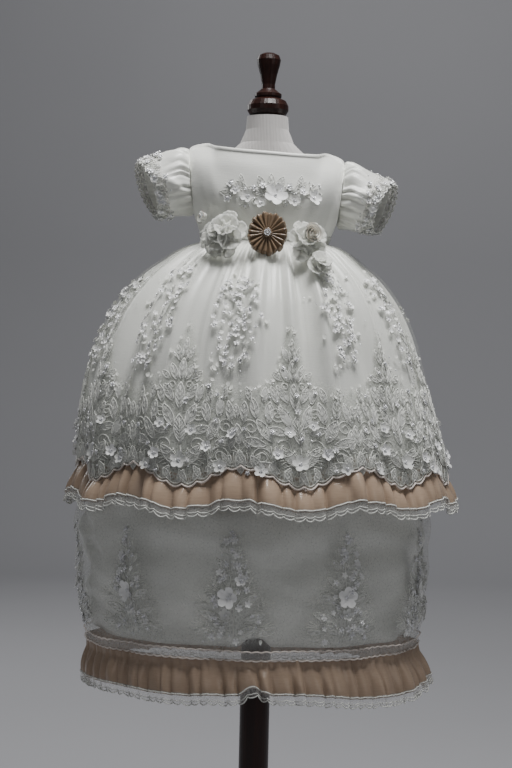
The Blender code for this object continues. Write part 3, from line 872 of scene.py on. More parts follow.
# the sprays between the plumes, from just under the waist
for number in range(SCALLOPS):
    middle = SCALLOP_FIRST + PITCH / 2 + PITCH * number + rng.uniform(-2.5, 2.5)
    low, high = 0.692 + rng.uniform(-0.008, 0.008), 0.808 + rng.uniform(-0.010, 0.012)
    for k in range(78):
        share = rng.uniform(0, 1) ** 0.9
        height = low + (high - low) * share
        wide = 6.6 * math.sin(math.pi * (0.22 + 0.62 * (1 - share))) * (1.0 + 0.6 * share)
        angle = middle + rng.uniform(-1, 1) * wide
        upper.flower(angle, height, rng.uniform(2.8, 5.2) / 1000, beads=int(rng.integers(0, 2)))
    for k in range(44):
        height = rng.uniform(low - 0.012, high + 0.012)
        angle = middle + rng.normal(0, 4.6)
        upper.put("leaf", angle, height, rng.uniform(5, 9) / 1000, rng.uniform(-1.2, 1.2))
        upper.put("bead", angle + rng.normal(0, 2.5), height, rng.uniform(0.6, 1.1) / 1000, 0.0)
upper.stamp("upper", trim_materials)

# %% [markdown]
# ## Lower tier
# Sheer organza hangs over the satin lining. Its sprays are drawn once and repeated in line with
# the notches between the big scallops: a tapering top, a full fan below.

# %% Organza tier


def tier_point(angle, height, out=0.0):
    angle, height = matched(angle, height)
    ripple = np.sin(110 * height + 2.2 * waves(angle, 6, 4)) * ease(0.552, 0.5, height)
    soft = 0.0024 * waves(angle, 19, 15) * ease(0.552, 0.46, height) + 0.0016 * ripple
    return around(TIER, angle, height, soft + 0.0008 + out)


angle, height = np.meshgrid(np.linspace(0, 360, 401)[:-1], np.linspace(0.3246, 0.552, 40))
thin = over_pole(angle) * ease(0.365, 0.345, height)
local = (angle - SCALLOP_FIRST) % PITCH - PITCH / 2
tall = np.clip((height - 0.345) / 0.135, 0, 1)
mist = np.exp(-((local / (7.0 - 5.5 * tall)) ** 2)) * ease(0.340, 0.352, height)
mist = mist * ease(0.490, 0.450, height)
tier_net = sheet("organza_tier", tier_point(angle, height), organza,
                 figure=0.16 + 0.60 * mist - 0.16 * thin)
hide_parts("lower_tier")

spray = Drawing()
for blade in ((3, 8, 38, 24, 9), (8, 26, 26, 24, 9), (5, 46, 36, 22, 8), (4, 66, 44, 19, 7),
              (3, 86, 54, 17, 6), (2, 104, 62, 14, 6), (18, 12, 8, 18, 7)):
    spray.leaf(*blade)
for burst in ((22, 20, 0, 60, 5, 15), (22, 46, 25, 60, 4, 14), (10, 62, 20, 60, 4, 14)):
    spray.fan(*burst)
spray.scroll(13, 22, 7, 1.4, 200)
spray.scroll(10, 70, 5, 1.3, 230)
spray.mirror()
stem = np.linspace(0, 122, 12)
spray.put("bold", [np.stack((1.5 * np.sin(stem / 20), stem), 1)], 0, 0, 0)
lower = Trim(tier_point)
spray_places = [(middle + PITCH / 2, 0.345, 1) for middle in middles]
sew("tier_spray", tier_point, spray, spray_places, (1.5 / MM_ROUND, 0.00105), (0.0006, 0.00036))
for number in range(SCALLOPS):
    middle = SCALLOP_FIRST + PITCH / 2 + PITCH * number
    for k in range(44):
        share = rng.uniform(0, 1) ** 1.2
        height = 0.347 + 0.136 * share
        angle = middle + rng.uniform(-1.5, 1.5) * 6.2 * (1 - share) ** 0.7
        lower.flower(angle, height, rng.uniform(3.2, 5.2) / 1000, beads=int(rng.integers(0, 3)))
    for k in range(30):
        share = rng.uniform(0, 1) ** 1.2
        height = 0.345 + 0.138 * share
        angle = middle + rng.uniform(-1.6, 1.6) * 6.4 * (1 - share) ** 0.6
        lower.put("bead", angle, height, rng.uniform(0.9, 1.5) / 1000, 0.0)
        lower.put("leaf", angle, height, rng.uniform(4, 7) / 1000, rng.uniform(-1.3, 1.3))
    lower.flower(middle + rng.uniform(-1, 1), 0.402, 0.0150, "petal", 3)
    lower.flower(middle + rng.uniform(-4, 4), 0.380, 0.0085, "sheer", 2)
    if number % 2:
        lower.flower(middle + 3.0, 0.424, 0.0085, "petal", 3)
lower.stamp("lower", trim_materials)

# %% [markdown]
# ## Ruffles
# A ruffle is a strip about half as long again as the edge it is sewn to. Its folds are narrow
# and close at the seam, and open towards the hem, where each swings out as far as it likes.

# %% Both ruffles


def ruffle_field(section, folds, seed, flare, bottom, top, tucked, swing, sway=0.0):
    """A function of angle and share of height that gives a ruffle's points."""
    wide, share_deep, shift, fluting = section

    def point(angle, share, out=0.0):
        angle, share = matched(angle, share)
        low, high = bottom(angle), top(angle)
        height = low + (high - low) * share
        opened = 1 - ease(0.1, 1.0, share) * 0.70
        lean = angle + 0.9 * opened * np.cos(folds * np.radians(angle) * 0.5 + seed)
        broad = waves(lean, folds * 3 // 8, seed + 5, 0.8)
        wave = 0.72 * pleats(lean, folds, seed) + 0.5 * broad
        tight = pleats(angle, folds * 1.5 // 1, seed + 1) * ease(0.15, 0.9, share) * 0.0017
        rise = np.clip(share / 0.74, 0, 1)
        reach = flare + (tucked - flare) * rise**1.15 + swing * opened * wave + tight + out
        turn = np.radians(angle)
        reach = reach + 0.0022 * np.sin(np.pi * rise) + fluting * np.cos(FLUTES * turn)
        across = shift + sway * (1 - share) + (wide + reach) * np.sin(turn)
        height = height + 0.0022 * wave * (1 - share)
        return np.stack((across, -(wide * share_deep + reach) * np.cos(turn), height), -1)

    return point


def upper_bottom(angle):
    return OVERLAY_EDGE - 0.0375 - 0.0062 * big_scallop(angle) + 0.0016 * waves(angle, 31, 9)


def lower_bottom(angle):
    turn = np.radians(angle)
    wave = np.cos(3 * turn + math.radians(40)) + np.cos(5 * turn - math.radians(60))
    notch = 0.010 * np.exp(-((((angle + 180) % 360 - 180) + 1.0) / 3.2) ** 2)
    return HEM + 0.003 * wave + notch


def upper_top(angle):
    return OVERLAY_EDGE - SCALLOP_DEPTH * big_scallop(angle) + 0.012


upper_ruffle_at = ruffle_field(
    smooth(OVERLAY, OVERLAY_EDGE), 70, 31, 0.0100, upper_bottom, upper_top, -0.0058, 0.0072
)
lower_ruffle_at = ruffle_field(
    smooth(TIER, TIER_SEAM), 68, 47, 0.0080, lower_bottom,
    lambda angle: TIER_SEAM + 0.0004 + 0 * angle, -0.0010, 0.0070, 0.007,
)
turns = np.linspace(0, 360, 841)[:-1]
angle, share = np.meshgrid(turns, np.linspace(0, 1, 12))
ruffles = (("upper_ruffle_satin", upper_ruffle_at), ("lower_ruffle_satin", lower_ruffle_at))
upper_ruffle, lower_ruffle = (
    sheet(name, at(angle, share), champagne, wall=FINE_WALL) for name, at in ruffles
)
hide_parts("upper_ruffle")
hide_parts("lower_ruffle")
tally(upper_ruffle, lower_ruffle)

# %% [markdown]
# ## Lace edgings
# Each ruffle ends in a narrow net edging with rounded scallops. A thicker thread outlines the
# scallops and a straight one marks the join.

# %% Edgings on the ruffles
EDGE_LOBES = 120


def edging_strip(name, node, field, depth):
    """A strip of net that carries a ruffle's folds on, past its hem."""
    turns = np.linspace(0, 360, EDGE_LOBES * 7 + 1)[:-1]
    lobe = np.abs(np.sin(np.radians(EDGE_LOBES / 2 * turns))) ** 0.7

    def at(angle, drop, lift=0.0):
        """A point of the strip, drop metres below the satin's hem."""
        hem = field(angle, 0.0, 0.0007 + lift)
        slope = hem - field(angle, 0.04, 0.0007 + lift)
        slope = slope / np.linalg.norm(slope, axis=-1)[..., None]
        return hem + slope * np.asarray(drop)[..., None]

    tall = depth - 0.0040 + 0.0040 * lobe
    rows = [at(turns, -0.004 + (tall + 0.004) * s) for s in np.linspace(1, 0, 6)]
    strip = sheet(name, np.array(rows), edging, figure=np.full((6, len(turns)), 0.30))
    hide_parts(node)
    paths = []
    closed = np.linspace(0, 360, EDGE_LOBES * 7 + 1)
    lobe = np.abs(np.sin(np.radians(EDGE_LOBES / 2 * closed))) ** 0.7
    outward = np.stack((np.sin(np.radians(closed)), -np.cos(np.radians(closed)), 0 * closed), 1)
    for drop in (depth - 0.0040 + 0.0040 * lobe, -0.0025 + 0.0006 * lobe):
        paths.append((at(closed, drop, 0.0004), outward))
    cord = cords(name + "_cording", paths, 0.0009, lace_thread)
    inner = [(at(closed, depth * 0.42 + 0.0022 * lobe, 0.0004), outward)]
    tally(strip, cord, cords(name + "_inner", inner, 0.0006, lace_thread))


for name, field in (("upper_ruffle", upper_ruffle_at), ("lower_ruffle", lower_ruffle_at)):
    edging_strip(f"{name}_edging", f"{name}_lace", field, 0.0115)

# %% Heading lace over the tier's seam
turns = np.linspace(0, 360, 961)[:-1]
lobe = np.abs(np.sin(np.radians(60 * turns)))
rows = []
for s in np.linspace(0, 1, 6):
    height = TIER_SEAM - 0.0012 * lobe + (0.0115 + 0.0024 * lobe) * s
    rows.append(tier_point(turns, height, 0.0022))
heading = sheet("heading_lace_strip", np.array(rows), edging,
                figure=np.full((6, len(turns)), 0.22))
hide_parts("heading_lace")
closed = np.linspace(0, 360, 961)
lobe = np.abs(np.sin(np.radians(60 * closed)))
paths = []
for height in (TIER_SEAM - 0.0012 * lobe, TIER_SEAM + 0.0103 + 0.0012 * lobe):
    paths.append((tier_point(closed, height, 0.0026), facing(tier_point, closed, height)))
tally(heading, cords("heading_cording", paths, 0.0012, blush_cord))

# %% [markdown]
# ## Bodice
# Lines run up each panel from the waist to the neck, the shoulder or the armhole, and a smooth
# surface goes through them. Creases start at the waist seam and die out over the chest.

# %% Bodice lines
BODICE = np.array(
    (
        # waist_angle, then across, depth and height at the chest, above it and at the top edge
        (0, 0.0000, 0.0760, 0.905, 0.0000, 0.0710, 0.945, 0.0000, 0.0620, 0.9720),
        (19, 0.0340, 0.0735, 0.905, 0.0340, 0.0680, 0.945, 0.0360, 0.0580, 0.9725),
        (35, 0.0600, 0.0660, 0.907, 0.0620, 0.0590, 0.946, 0.0640, 0.0430, 0.9755),
        (45, 0.0740, 0.0580, 0.912, 0.0790, 0.0470, 0.954, 0.0810, 0.0009, 0.9830),
        (55, 0.0860, 0.0480, 0.912, 0.0950, 0.0390, 0.948, 0.1040, 0.0009, 0.9740),
        (64, 0.0925, 0.0400, 0.900, 0.0985, 0.0380, 0.922, 0.1015, 0.0300, 0.9450),
        (77, 0.0945, 0.0260, 0.885, 0.0960, 0.0300, 0.898, 0.0975, 0.0290, 0.9100),
        (90, 0.0875, 0.0005, 0.867, 0.0915, 0.0005, 0.878, 0.0955, 0.0005, UNDERARM),
    )
)
BACK_DEPTH = 0.92


def bodice_lines(mirror, back):
    """The lines of a quarter of the bodice, from the centre to the side seam."""
    side, depth = (-1 if mirror else 1), (BACK_DEPTH if back else -1.0)
    turn = np.radians(BODICE[:, 0])
    waist = np.stack((0.0850 * np.sin(turn), 0.0690 * np.cos(turn), 0 * turn + WAIST), 1)
    lines = np.concatenate((waist[:, None], BODICE[:, 1:].reshape(-1, 3, 3)), 1)
    return lines * (side, depth, 1)


def through(points, at):
    """Points on a smooth curve through these ones, at these places along it."""
    table = np.column_stack((np.arange(len(points)), points.reshape(len(points), -1)))
    return smooth(table, at).reshape(len(at), *points.shape[1:])


def settle(points):
    """The gown's slight lean, applied to points."""
    points = np.array(points, float)
    share = np.clip((points[..., 2] - WAIST) / (UNDERARM - WAIST), 0, 1)
    points[..., 2] -= SLOPE * points[..., 0] * share
    return points


def normals(grid):
    """The outward normals of a grid of points."""
    normal = np.cross(np.gradient(grid, axis=1), np.gradient(grid, axis=0))
    return normal / (np.linalg.norm(normal, axis=2)[..., None] + 1e-12)


RISE = np.concatenate((np.linspace(0, 0.945, 30), (0.950, 0.955, 0.978, 1.0)))


def panel_grid(lines, columns, depth):
    """A panel's points, kept on its own side of the body's middle."""
    across = through(lines, np.linspace(0, len(lines) - 1, columns))
    grid = through(np.swapaxes(across, 0, 1), 3 * RISE)
    grid[..., 1] = depth * np.maximum(grid[..., 1] * depth, 0.0006)
    return settle(grid)


# %% Bodice panels
right, left = bodice_lines(False, False), bodice_lines(True, False)
front = panel_grid(np.concatenate((left[:0:-1], right)), 107, -1)
rise = RISE[:, None]
place = np.linspace(-7, 7, 107)[None]
crease = 0.0009 * np.exp(-rise / 0.16) * np.sin(5.1 * place + 1.3 * np.sin(1.7 * place))
crease = crease + 0.0011 * np.sin(2.3 * place + 9 * rise) * ease(3, 5, abs(place)) * (1 - rise)
crease = crease + 0.0007 * np.sin(13 * rise + 0.8 * place + np.sin(place)) * (1 - rise) ** 0.5
edges = ease(0, 0.05, rise) * ease(1.0, 0.93, rise) * ease(7.0, 6.5, abs(place))
facing_edge = 0.0011 * ease(0.944, 0.956, rise) * ease(4.2, 3.8, abs(place))
front = front + normals(front) * (crease * edges + facing_edge)[..., None]
bodice = sheet("bodice_front_panel", front, ivory, closed=False, wall=0.0007)
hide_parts("bodice_front")
tally(bodice)

for name, mirror in (("right", False), ("left", True)):
    lines = bodice_lines(mirror, True)
    lines[0, :, 0] = -0.0006 if mirror else 0.0006
    grid = panel_grid(lines if mirror else lines[::-1], 55, 1)
    place = np.linspace(0, 7, 55)[None] if mirror else np.linspace(7, 0, 55)[None]
    crease = 0.0009 * np.exp(-rise / 0.2) * np.sin(4.6 * place + 2 * np.sin(place) + mirror)
    crease = crease + 0.0008 * np.sin(11 * rise - 0.7 * place + 2 * mirror) * (1 - rise) ** 0.5
    edges = ease(0, 0.05, rise) * ease(1.0, 0.93, rise) * ease(7, 6.5, place) * ease(0, 0.6, place)
    facing_edge = 0.0011 * ease(0.944, 0.956, rise) * ease(4.2, 3.8, place)
    grid = grid + normals(grid) * (crease * edges + facing_edge)[..., None]
    panel = sheet(f"bodice_back_{name}_panel", grid, ivory, closed=False, wall=0.0007)
    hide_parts(f"bodice_back_{name}")
    tally(panel)

# %% Belt
quarters = (
    bodice_lines(False, False), bodice_lines(False, True)[-2::-1],
    bodice_lines(True, True)[1:-1], bodice_lines(True, False)[:0:-1],
)
loop = np.concatenate(quarters)
loop = np.concatenate((loop, loop[:1]))
grid = through(loop, np.linspace(0, len(loop) - 1, 201))[:-1]
lines = through(np.swapaxes(grid, 0, 1), np.linspace(0, 1.2, 24))
rows = []
for height, out in zip(np.linspace(WAIST - 0.0009, WAIST + 0.0102, 7), (0, 6, 9, 10, 9, 6, 0)):
    ring = []
    for column in range(200):
        heights = lines[:, column, 2]
        x, y = (np.interp(height, heights, lines[:, column, k]) for k in (0, 1))
        grow = 1 + (0.0006 + out * 0.00008) / math.hypot(x, y)
        ring.append((x * grow, y * grow, height))
    rows.append(ring)
belt = sheet("waist_belt_band", settle(rows), ivory, wall=0.0005)
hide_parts("waist_belt")
tally(belt)

# %% Lace sewn on the chest
tree = BVHTree.FromPolygons(
    [tuple(v.co) for v in bodice.data.vertices], [tuple(p.vertices) for p in bodice.data.polygons]
)


def chest_point(across, height, out=0.0):
    """A point on the bodice's front, across in millimetres, found by looking straight at it."""
    across, height = matched(across, height)
    found = []
    for x, z in zip(across.ravel(), height.ravel()):
        hit, normal, _, _ = tree.ray_cast(Vector((x / 1000, -0.5, z)), Vector((0, 1, 0)))
        if hit is None:
            hit, normal = Vector((x / 1000, -0.05, z)), Vector((0, -1, 0))
        found.append(hit + normal * out)
    return np.array(found).reshape(*across.shape, 3)


chest_lace = Drawing()
for blade in ((2, 2, 20, 26, 10), (6, 8, 62, 19, 8), (24, 4, 42, 22, 8), (40, 2, 10, 19, 8),
              (32, 12, 78, 15, 6)):
    chest_lace.leaf(*blade)
chest_lace.scroll(18, -6, 5, 1.4, 90)
chest_lace.fan(44, 8, 60, 70, 4, 12)
chest_lace.fan(28, -6, -60, 60, 4, 10)
chest_lace.mirror()
chest_lace.leaf(0, 4, 90, 24, 9)
sew("chest", chest_point, chest_lace, [(6.0, 0.911, 1)], (1.15, 0.0011), (0.0006, 0.00036))
chest = Trim(chest_point, 1.0)
for x, z, size, kind in (
    (-24, 0.911, 10.0, "sheer"), (12.3, 0.912, 17.0, "petal"), (61.8, 0.911, 11.5, "petal"),
    (-7, 0.903, 8.5, "sheer"), (37, 0.906, 8.5, "sheer"), (-40, 0.919, 7.0, "blossom"),
    (-46, 0.928, 6.0, "blossom"), (48, 0.918, 6.0, "blossom"), (30, 0.924, 5.5, "blossom"),
    (-4, 0.925, 5.5, "blossom"), (-50, 0.908, 5.5, "blossom"), (-16, 0.922, 5.0, "blossom"),
):
    chest.flower(x, z, size / 1000, kind, 3)
for k in range(60):
    x = rng.uniform(-50, 72)
    chest.put("bead", x, 0.912 + rng.normal(0, 0.009), rng.uniform(0.7, 1.3) / 1000, 0.0)
for x, z in ((-27.0, 0.920), (-27.3, 0.898)):
    chest.put("bead", x, z, 0.0021, 0.0)
chest.stamp("chest", trim_materials)

# %% [markdown]
# ## Puff sleeves
# The sleeve's head is wider than its armhole, so it is gathered in and the gathers run out over
# the puff. A lace cuff with flowers and beads covers its end.

# %% Sleeves
SLEEVE = (
    # out, height, half_height, half_depth, tilt, forward turn
    (0.1120, 0.9290, 0.0435, 0.0410, 6, 0),
    (0.1250, 0.9255, 0.0425, 0.0458, 10, 4),
    (0.1400, 0.9205, 0.0400, 0.0463, 15, 9),
    (0.1520, 0.9175, 0.0378, 0.0438, 19, 14),
    (0.1620, 0.9155, 0.0352, 0.0412, 22, 17),
)


def sleeve_grid(side, columns, along):
    """Rings of a sleeve from the armhole outward, each from its top round by the front."""
    front, back = bodice_lines(side < 0, False)[4:, 3], bodice_lines(side < 0, True)[-2:3:-1, 3]
    turn = np.linspace(0, 2 * np.pi, columns + 1)[:-1]
    hole = np.concatenate((front, back))
    hole = through(hole, turn / (2 * np.pi) * (len(hole) - 1)) + (0.0012 * side, 0, 0)
    rings = [hole]
    for out, height, tall, deep, tilt, ahead in SLEEVE:
        lean, up, forward = math.radians(tilt), tall * np.cos(turn), deep * np.sin(turn)
        away = out + up * math.sin(lean) - forward * math.sin(math.radians(ahead))
        ring = (side * away, -forward, height + up * math.cos(lean))
        rings.append(np.stack(ring, 1))
    grid = settle(through(np.array(rings), along))
    return grid if side > 0 else grid[:, ::-1]


def gathers(side, columns, along):
    """How far the sleeve's cloth stands out: tight at the armhole, and again at the cuff."""
    turn = np.degrees(np.linspace(0, 2 * np.pi, columns + 1)[:-1])[None]
    along = np.asarray(along)[:, None]
    tight = pleats(turn, 21, 60 + side) * np.exp(-((along / 2.3) ** 2)) * ease(0, 0.25, along)
    cuff = waves(turn, 15, 70 + side, 0.4) * np.exp(-(((along - 3.9) / 0.7) ** 2))
    crease = waves(turn + 14 * along, 6, 80 + side, 0.5) * np.exp(-(((along - 2) / 1.4) ** 2))
    made = 0.0042 * tight + 0.0018 * cuff + 0.0024 * crease
    return (made if side > 0 else made[:, ::-1])[..., None]


COLUMNS, ROWS = 132, 12  # points round the sleeve, and rows from one ring to the next
SLEEVE_MM, RING_MM = 0.72, 12  # millimetres in a degree round it, and from ring to ring
along = np.linspace(0, 5, 5 * ROWS + 1)
for name, side in (("left", -1), ("right", 1)):
    base = sleeve_grid(side, COLUMNS, along)
    out = normals(base)
    full = base + out * gathers(side, COLUMNS, along)
    satin_part = along <= 4.01
    puff = sheet(f"puff_sleeve_{name}", full[satin_part], ivory, wall=SATIN_WALL)
    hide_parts(f"sleeve_{name}")

    def sleeve_point(angle, height, lift=0.0, full=full, out=out):
        """A point on this sleeve, at an angle round it and a number of rings along it."""
        angle, height = matched(angle, height)
        column, row = angle / 360 * COLUMNS, np.clip(height, 0, 4.999) * ROWS
        c, r = np.floor(column).astype(int), np.floor(row).astype(int)
        u, v = (column - c)[..., None], (row - r)[..., None]
        c, n = c % COLUMNS, (c + 1) % COLUMNS
        at = full + out * 0.0008
        spot = (at[r, c] * (1 - u) + at[r, n] * u) * (1 - v)
        spot = spot + (at[r + 1, c] * (1 - u) + at[r + 1, n] * u) * v
        return spot + (out[r, c] * (1 - v) + out[r + 1, c] * v) * np.asarray(lift)[..., None]

    turn = np.linspace(0, 360, 289)[:-1]
    lobe = abs(np.sin(np.radians(12 * turn)))
    rows = [sleeve_point(turn, 3.0 + (1.72 + 0.26 * lobe) * s) for s in np.linspace(0, 1, 14)]
    cuff = sheet(f"cuff_lace_{name}", np.array(rows), edging,
                 figure=np.linspace(0.25, 0.9, 14)[:, None] * np.ones(288))
    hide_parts(f"sleeve_lace_{name}")
    closed = np.linspace(0, 360, 289)
    lobe = abs(np.sin(np.radians(12 * closed)))
    paths = [
        (sleeve_point(closed, row, 0.0003), facing(sleeve_point, closed, row))
        for row in (4.70 + 0.26 * lobe, 4.30 + 0.22 * lobe)
    ]
    cuff_lace = Drawing()
    cuff_lace.leaf(0, 0, -90, 18, 8)
    cuff_lace.leaf(8, 0, -70, 12, 6, 2)
    places = [(7.5 + 15 * k, 4.72, 1) for k in range(24)]
    scale = (1 / SLEEVE_MM, 1 / RING_MM)
    sew(f"cuff_{name}", sleeve_point, cuff_lace, places, scale, (0.0006, 0.00036))
    cuff_trim = Trim(sleeve_point, SLEEVE_MM, RING_MM / 1000)
    for k in range(46):
        row = 4.7 - 2.1 * rng.uniform(0, 1) ** 1.4
        cuff_trim.flower(rng.uniform(0, 360), row, rng.uniform(3.6, 5.4) / 1000,
                         beads=int(rng.integers(1, 4)))
    for k in range(10):
        cuff_trim.flower(36 * k + rng.uniform(-9, 9), 4.2, 0.0065, "sheer", 3)
    for k in range(80):
        row = 4.8 - 2.4 * rng.uniform(0, 1) ** 1.3
        cuff_trim.put("bead", rng.uniform(0, 360), row, rng.uniform(0.7, 1.3) / 1000, 0.0)
    tally(puff, cuff, cords(f"cuff_cording_{name}", paths, 0.0011, lace_thread))
    cuff_trim.stamp(f"cuff_{name}", trim_materials)

# %% [markdown]
# ## Flowers at the waist
# Each cluster is a handful of four-petalled chiffon florets turned a different way. Their petals
# are cupped and a little rippled at the edge, as heat-set chiffon is.

# %% Chiffon clusters
FLORETS = (
    whole_flower(4, 15, width=0.56, cup=0.18, ruffle=0.06, columns=7, rows=7),
    whole_flower(4, 29, width=0.60, cup=0.14, ruffle=0.08, columns=7, rows=7),
)


def cluster(name, node, centre, turn, lean, spread, size, count, seed):
    """A mound of florets on a small dome, turned about the body and leaned back like its solid."""
    luck = np.random.default_rng(seed)
    a, b = math.radians(turn), math.radians(lean)
    ahead = np.array((math.sin(a) * math.cos(b), -math.cos(a) * math.cos(b), -math.sin(b)))
    right = np.array((math.cos(a), math.sin(a), 0.0))
    up = np.cross(right, ahead)
    up = up if up[2] > 0 else -up
    places = [[], []]
    for k in range(count):
        angle = 2.4 * k + luck.uniform(-0.3, 0.3)
        reach = math.sqrt(k / count)
        x, y = reach * spread[0] * math.cos(angle), reach * spread[1] * math.sin(angle)
        dome = 0.010 * (1 - reach * reach) + luck.uniform(0, 0.003)
        normal = ahead + right * x / 0.030 + up * y / 0.034
        point = np.array(centre) + right * x + up * y + ahead * (0.003 + dome)
        kind = k % 2
        places[kind].append((point, normal, size * luck.uniform(0.85, 1.12), luck.uniform(0, 6.3)))
    made = []
    for kind in (0, 1):
        part = stamps(f"{name}_{'ab'[kind]}", FLORETS[kind], places[kind], chiffon)
        thicken(part, 0.0003, 0.0)
        made.append(part)
    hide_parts(node)
    tally(*made)


cluster("left_cluster", "flower_left", (-0.050, -0.0965, 0.854), -30, -18,
        (0.024, 0.019), 0.0175, 13, 5)
cluster("right_cluster", "flower_right", (0.050, -0.103, 0.848), 28, -16,
        (0.017, 0.019), 0.0160, 9, 6)
cluster("low_cluster", "flower_low", (0.066, -0.116, 0.814), 32, -42,
        (0.008, 0.011), 0.0135, 5, 7)

# %% Rolled rose and rolled bud


def rolled(name, node, centre, turn, radius, deep, turns, material):
    """A strip rolled on itself, tight in the middle and open outside, with a wavy edge."""
    a = math.radians(turn)
    ahead = np.array((math.sin(a), -math.cos(a), 0.15))
    ahead /= np.linalg.norm(ahead)
    right = np.array((math.cos(a), math.sin(a), 0.0))
    up = np.cross(right, -ahead) * -1
    up = up if up[2] > 0 else -up
    t = np.linspace(0, 1, int(26 * turns))
    phi = 2 * np.pi * turns * t
    rows = []
    for s in np.linspace(0, 1, 8):
        flare = (1 + 0.40 * s * s * t) * (1 + 0.05 * s * t * np.sin(3.1 * phi + 1))
        reach = radius * 0.72 * (0.07 + 0.93 * t**0.85) * flare
        depth = deep * (s * (1.0 - 0.35 * t) + 0.05 * s * t * np.sin(2.7 * phi))
        spot = np.array(centre) + reach[:, None] * (
            np.cos(phi)[:, None] * right + np.sin(phi)[:, None] * up
        )
        rows.append(spot + depth[:, None] * ahead)
    grid = np.array(rows)
    made = sheet(name, grid, material, closed=False, wall=FINE_WALL)
    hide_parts(node)
    rim = cords(name + "_rim", [(grid[-1], np.tile(ahead, (len(t), 1)))], 0.00032, champagne)
    tally(made, rim)
    return ahead


rolled("rolled_rose", "rose_right", (0.0585, -0.1165, 0.8590), 28, 0.0140, 0.011, 3.4,
       rose_satin)
BUD = (-0.0800, -0.0590, 0.8840)
ahead = rolled("rolled_bud", "bud_left", BUD, -50, 0.0100, 0.009, 1.8, chiffon)
middle = np.array(BUD) + ahead * 0.006
crystals = [(middle + np.array(o) / 1000, ahead, 0.0016, 0.0) for o in
            ((-2, 0, 2), (2, 0, 1.6), (-1, 0, -2), (0, 0, 0.2))]
tally(stamps("bud_crystals", BEAD, crystals, silver_bead))

# %% [markdown]
# ## Pleated rosette
# A satin strip is folded into knife pleats and drawn up round its inner edge. Seen from the front
# each pleat rises slowly and drops sharply on to the next.

# %% Rosette
PLEATS = 20
ROSETTE = np.array((0.0025, -0.1075, 0.8585))
lean = math.radians(10)
ahead = np.array((0.0, -math.cos(lean), math.sin(lean)))
up = np.array((0.0, math.sin(lean), math.cos(lean)))
luck = np.random.default_rng(12)
rows, steps = [], 10
number, part = np.divmod(np.arange(PLEATS * steps), steps)
part = part / (steps - 1)
stray = luck.uniform(-0.10, 0.10, PLEATS)[number]
turn = 2 * np.pi * (number + part * 1.16 - 0.08 + stray) / PLEATS
reach_out = 0.0255 + luck.uniform(-0.0012, 0.0010, PLEATS)[number]
long = reach_out * (1.0 - 0.05 * (2 * part - 1) ** 2)
for s in np.linspace(0, 1, 12):
    reach = 0.0050 + (long - 0.0050) * s
    fold = (0.0012 + 0.0042 * s) * np.sin(np.pi * np.clip(part * 1.06, 0, 1) ** 2.4)
    rim = -0.0045 * ease(0.90, 1.0, s) - 0.0020 * s
    spot = ROSETTE + np.stack((reach * np.cos(turn), 0 * turn, 0 * turn), 1)
    spot = spot + (reach * 1.13 * np.sin(turn))[:, None] * up
    rows.append(spot + (0.0072 + fold + rim)[:, None] * ahead)
rosette = sheet("pleated_rosette", np.array(rows), gold, wall=FINE_WALL)
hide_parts("rosette")
tally(rosette)

# %% Backing disc and crystal button


def disc(name, radius, depth, at, material, steps, way=ahead):
    """A round button that faces one way: each step is an inset and a rise, in metres."""
    bpy.ops.object.select_all(action="DESELECT")
    bpy.ops.mesh.primitive_cylinder_add(
        vertices=24, radius=radius, depth=depth, location=at,
        rotation=Vector(way).to_track_quat("Z", "Y").to_euler(),
    )
    made = bpy.context.object
    made.name = made.data.name = name
    made.data.materials.append(material)
    bpy.ops.object.transform_apply(location=True, rotation=True, scale=True)
    bpy.ops.object.mode_set(mode="EDIT")
    bpy.ops.mesh.select_mode(type="FACE")
    pick(made, lambda face: face.normal.dot(Vector(way)) > 0.9)
    for inset, rise in steps:
        bpy.ops.mesh.inset(thickness=inset)
        bpy.ops.transform.translate(value=tuple(float(v) for v in np.array(way) * rise))
    bpy.ops.mesh.poke()
    bpy.ops.object.mode_set(mode="OBJECT")
    bpy.ops.object.shade_smooth_by_angle(angle=math.radians(50))
    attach(made, "root")
    tally(made)
    return made


disc("rosette_backing", 0.0215, 0.003, tuple(ROSETTE + ahead * 0.0022), gold,
     ((0.002, 0.0006), (0.004, 0.0004)))
gem = disc("crystal_button", 0.0062, 0.0040, tuple(ROSETTE + ahead * 0.0098), gold,
           ((0.0008, 0.0006), (0.0008, -0.0006), (0.0006, 0.0)))
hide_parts("rosette_gem")
ring_at = ROSETTE + ahead * 0.0124
side = np.array((1.0, 0.0, 0.0))
crystals = [
    (ring_at + r * (math.cos(a) * side + math.sin(a) * up), ahead, size, a)
    for r, count, size in ((0.0036, 9, 0.00125), (0.0, 1, 0.0020))
    for a in np.linspace(0, 2 * math.pi, count, endpoint=False)
]
tally(stamps("button_crystals", BEAD, crystals, silver_bead))

# %% Covered buttons down the back
for number in range(1, 5):
    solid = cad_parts[f"back_button_{number}"]
    corners = np.array([solid.matrix_world @ Vector(corner) for corner in solid.bound_box])
    size, middle = np.ptp(corners, axis=0), corners.mean(axis=0)
    button = disc(f"covered_button_{number}", size[0] / 2, size[1] * 0.8, tuple(middle), ivory,
                  ((0.0009, 0.0005), (0.0012, 0.0004), (0.0010, 0.0002)), (0.0, 1.0, 0.0))
    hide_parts(f"back_button_{number}")

# %% [markdown]
# ## Studio
# A plain pale floor runs up into a backdrop in one sweep. One wide soft light hangs over and in
# front of the gown, so that upward-facing cloth is brightest and the hem falls into soft shade.

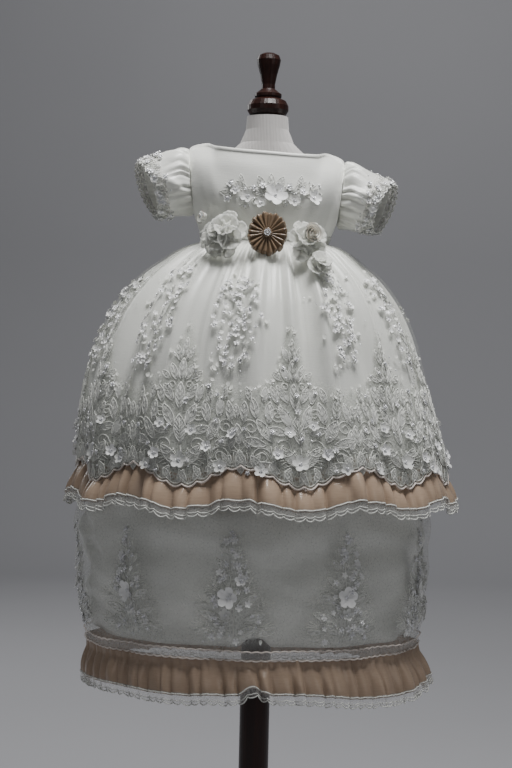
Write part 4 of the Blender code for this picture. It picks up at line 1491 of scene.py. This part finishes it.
# %% Floor and backdrop
bpy.ops.object.select_all(action="DESELECT")
bpy.ops.mesh.primitive_plane_add(size=9.0, location=(0, 0.2, -0.0005))
floor = bpy.context.object
floor.name = "floor"
bpy.ops.object.mode_set(mode="EDIT")
bpy.ops.mesh.select_mode(type="EDGE")
bpy.ops.mesh.select_all(action="DESELECT")
bpy.ops.object.mode_set(mode="OBJECT")
for edge in floor.data.edges:
    edge.select = all(floor.data.vertices[v].co.y > 4.0 for v in edge.vertices)
bpy.ops.object.mode_set(mode="EDIT")
bpy.ops.mesh.extrude_region_move(TRANSFORM_OT_translate={"value": (0, 0.0, 5.0)})
bpy.ops.object.mode_set(mode="OBJECT")
for edge in floor.data.edges:
    edge.select = all(abs(v.co.z) < 1e-4 and v.co.y > 4.0 for v in
                      (floor.data.vertices[i] for i in edge.vertices))
bpy.ops.object.mode_set(mode="EDIT")
bpy.ops.mesh.bevel(offset=1.2, segments=16, affect="EDGES")
bpy.ops.object.mode_set(mode="OBJECT")
floor.data.shade_smooth()
paint = Paint("studio_paper", Specular_IOR_Level=0.1)
cloud = paint.noise(1.2, 2.0)
paint.feed(Base_Color=paint.mix(cloud, (0.37, 0.37, 0.385), (0.34, 0.34, 0.355)))
floor.data.materials.append(paint.feed(Roughness=cloud * 0.1 + 0.8).material)


# %% Lights
def soft_light(name, place, target, size, power, colour=(1, 1, 1)):
    data = bpy.data.lights.new(name, "AREA")
    data.shape, data.size, data.size_y = "RECTANGLE", size[0], size[1]
    data.energy, data.color = power, colour
    lamp = bpy.data.objects.new(name, data)
    bpy.context.scene.collection.objects.link(lamp)
    lamp.location = place
    aim = Vector(target) - Vector(place)
    lamp.rotation_euler = aim.to_track_quat("-Z", "Y").to_euler()


soft_light("overhead", (0.22, -0.40, 2.45), (0.0, 0.0, 0.72), (0.9, 0.7), 54)
soft_light("front_fill", (-1.4, -2.6, 1.5), (0.0, 0.0, 0.6), (1.4, 1.4), 2.5)
soft_light("side_fill", (2.0, -1.6, 1.3), (0.0, 0.0, 0.6), (1.0, 1.4), 3.0)
soft_light("back_fill", (-1.5, 1.9, 1.8), (0.0, 0.0, 0.6), (1.0, 1.4), 12)
soft_light("backdrop_light", (0.6, 2.2, 3.2), (0.4, 4.6, 1.2), (3.0, 1.0), 41)
world = bpy.data.worlds.new("studio")
world.use_nodes = True
world.node_tree.nodes["Background"].inputs["Color"].default_value = (0.93, 0.95, 1.0, 1)
world.node_tree.nodes["Background"].inputs["Strength"].default_value = 0.10
bpy.context.scene.world = world
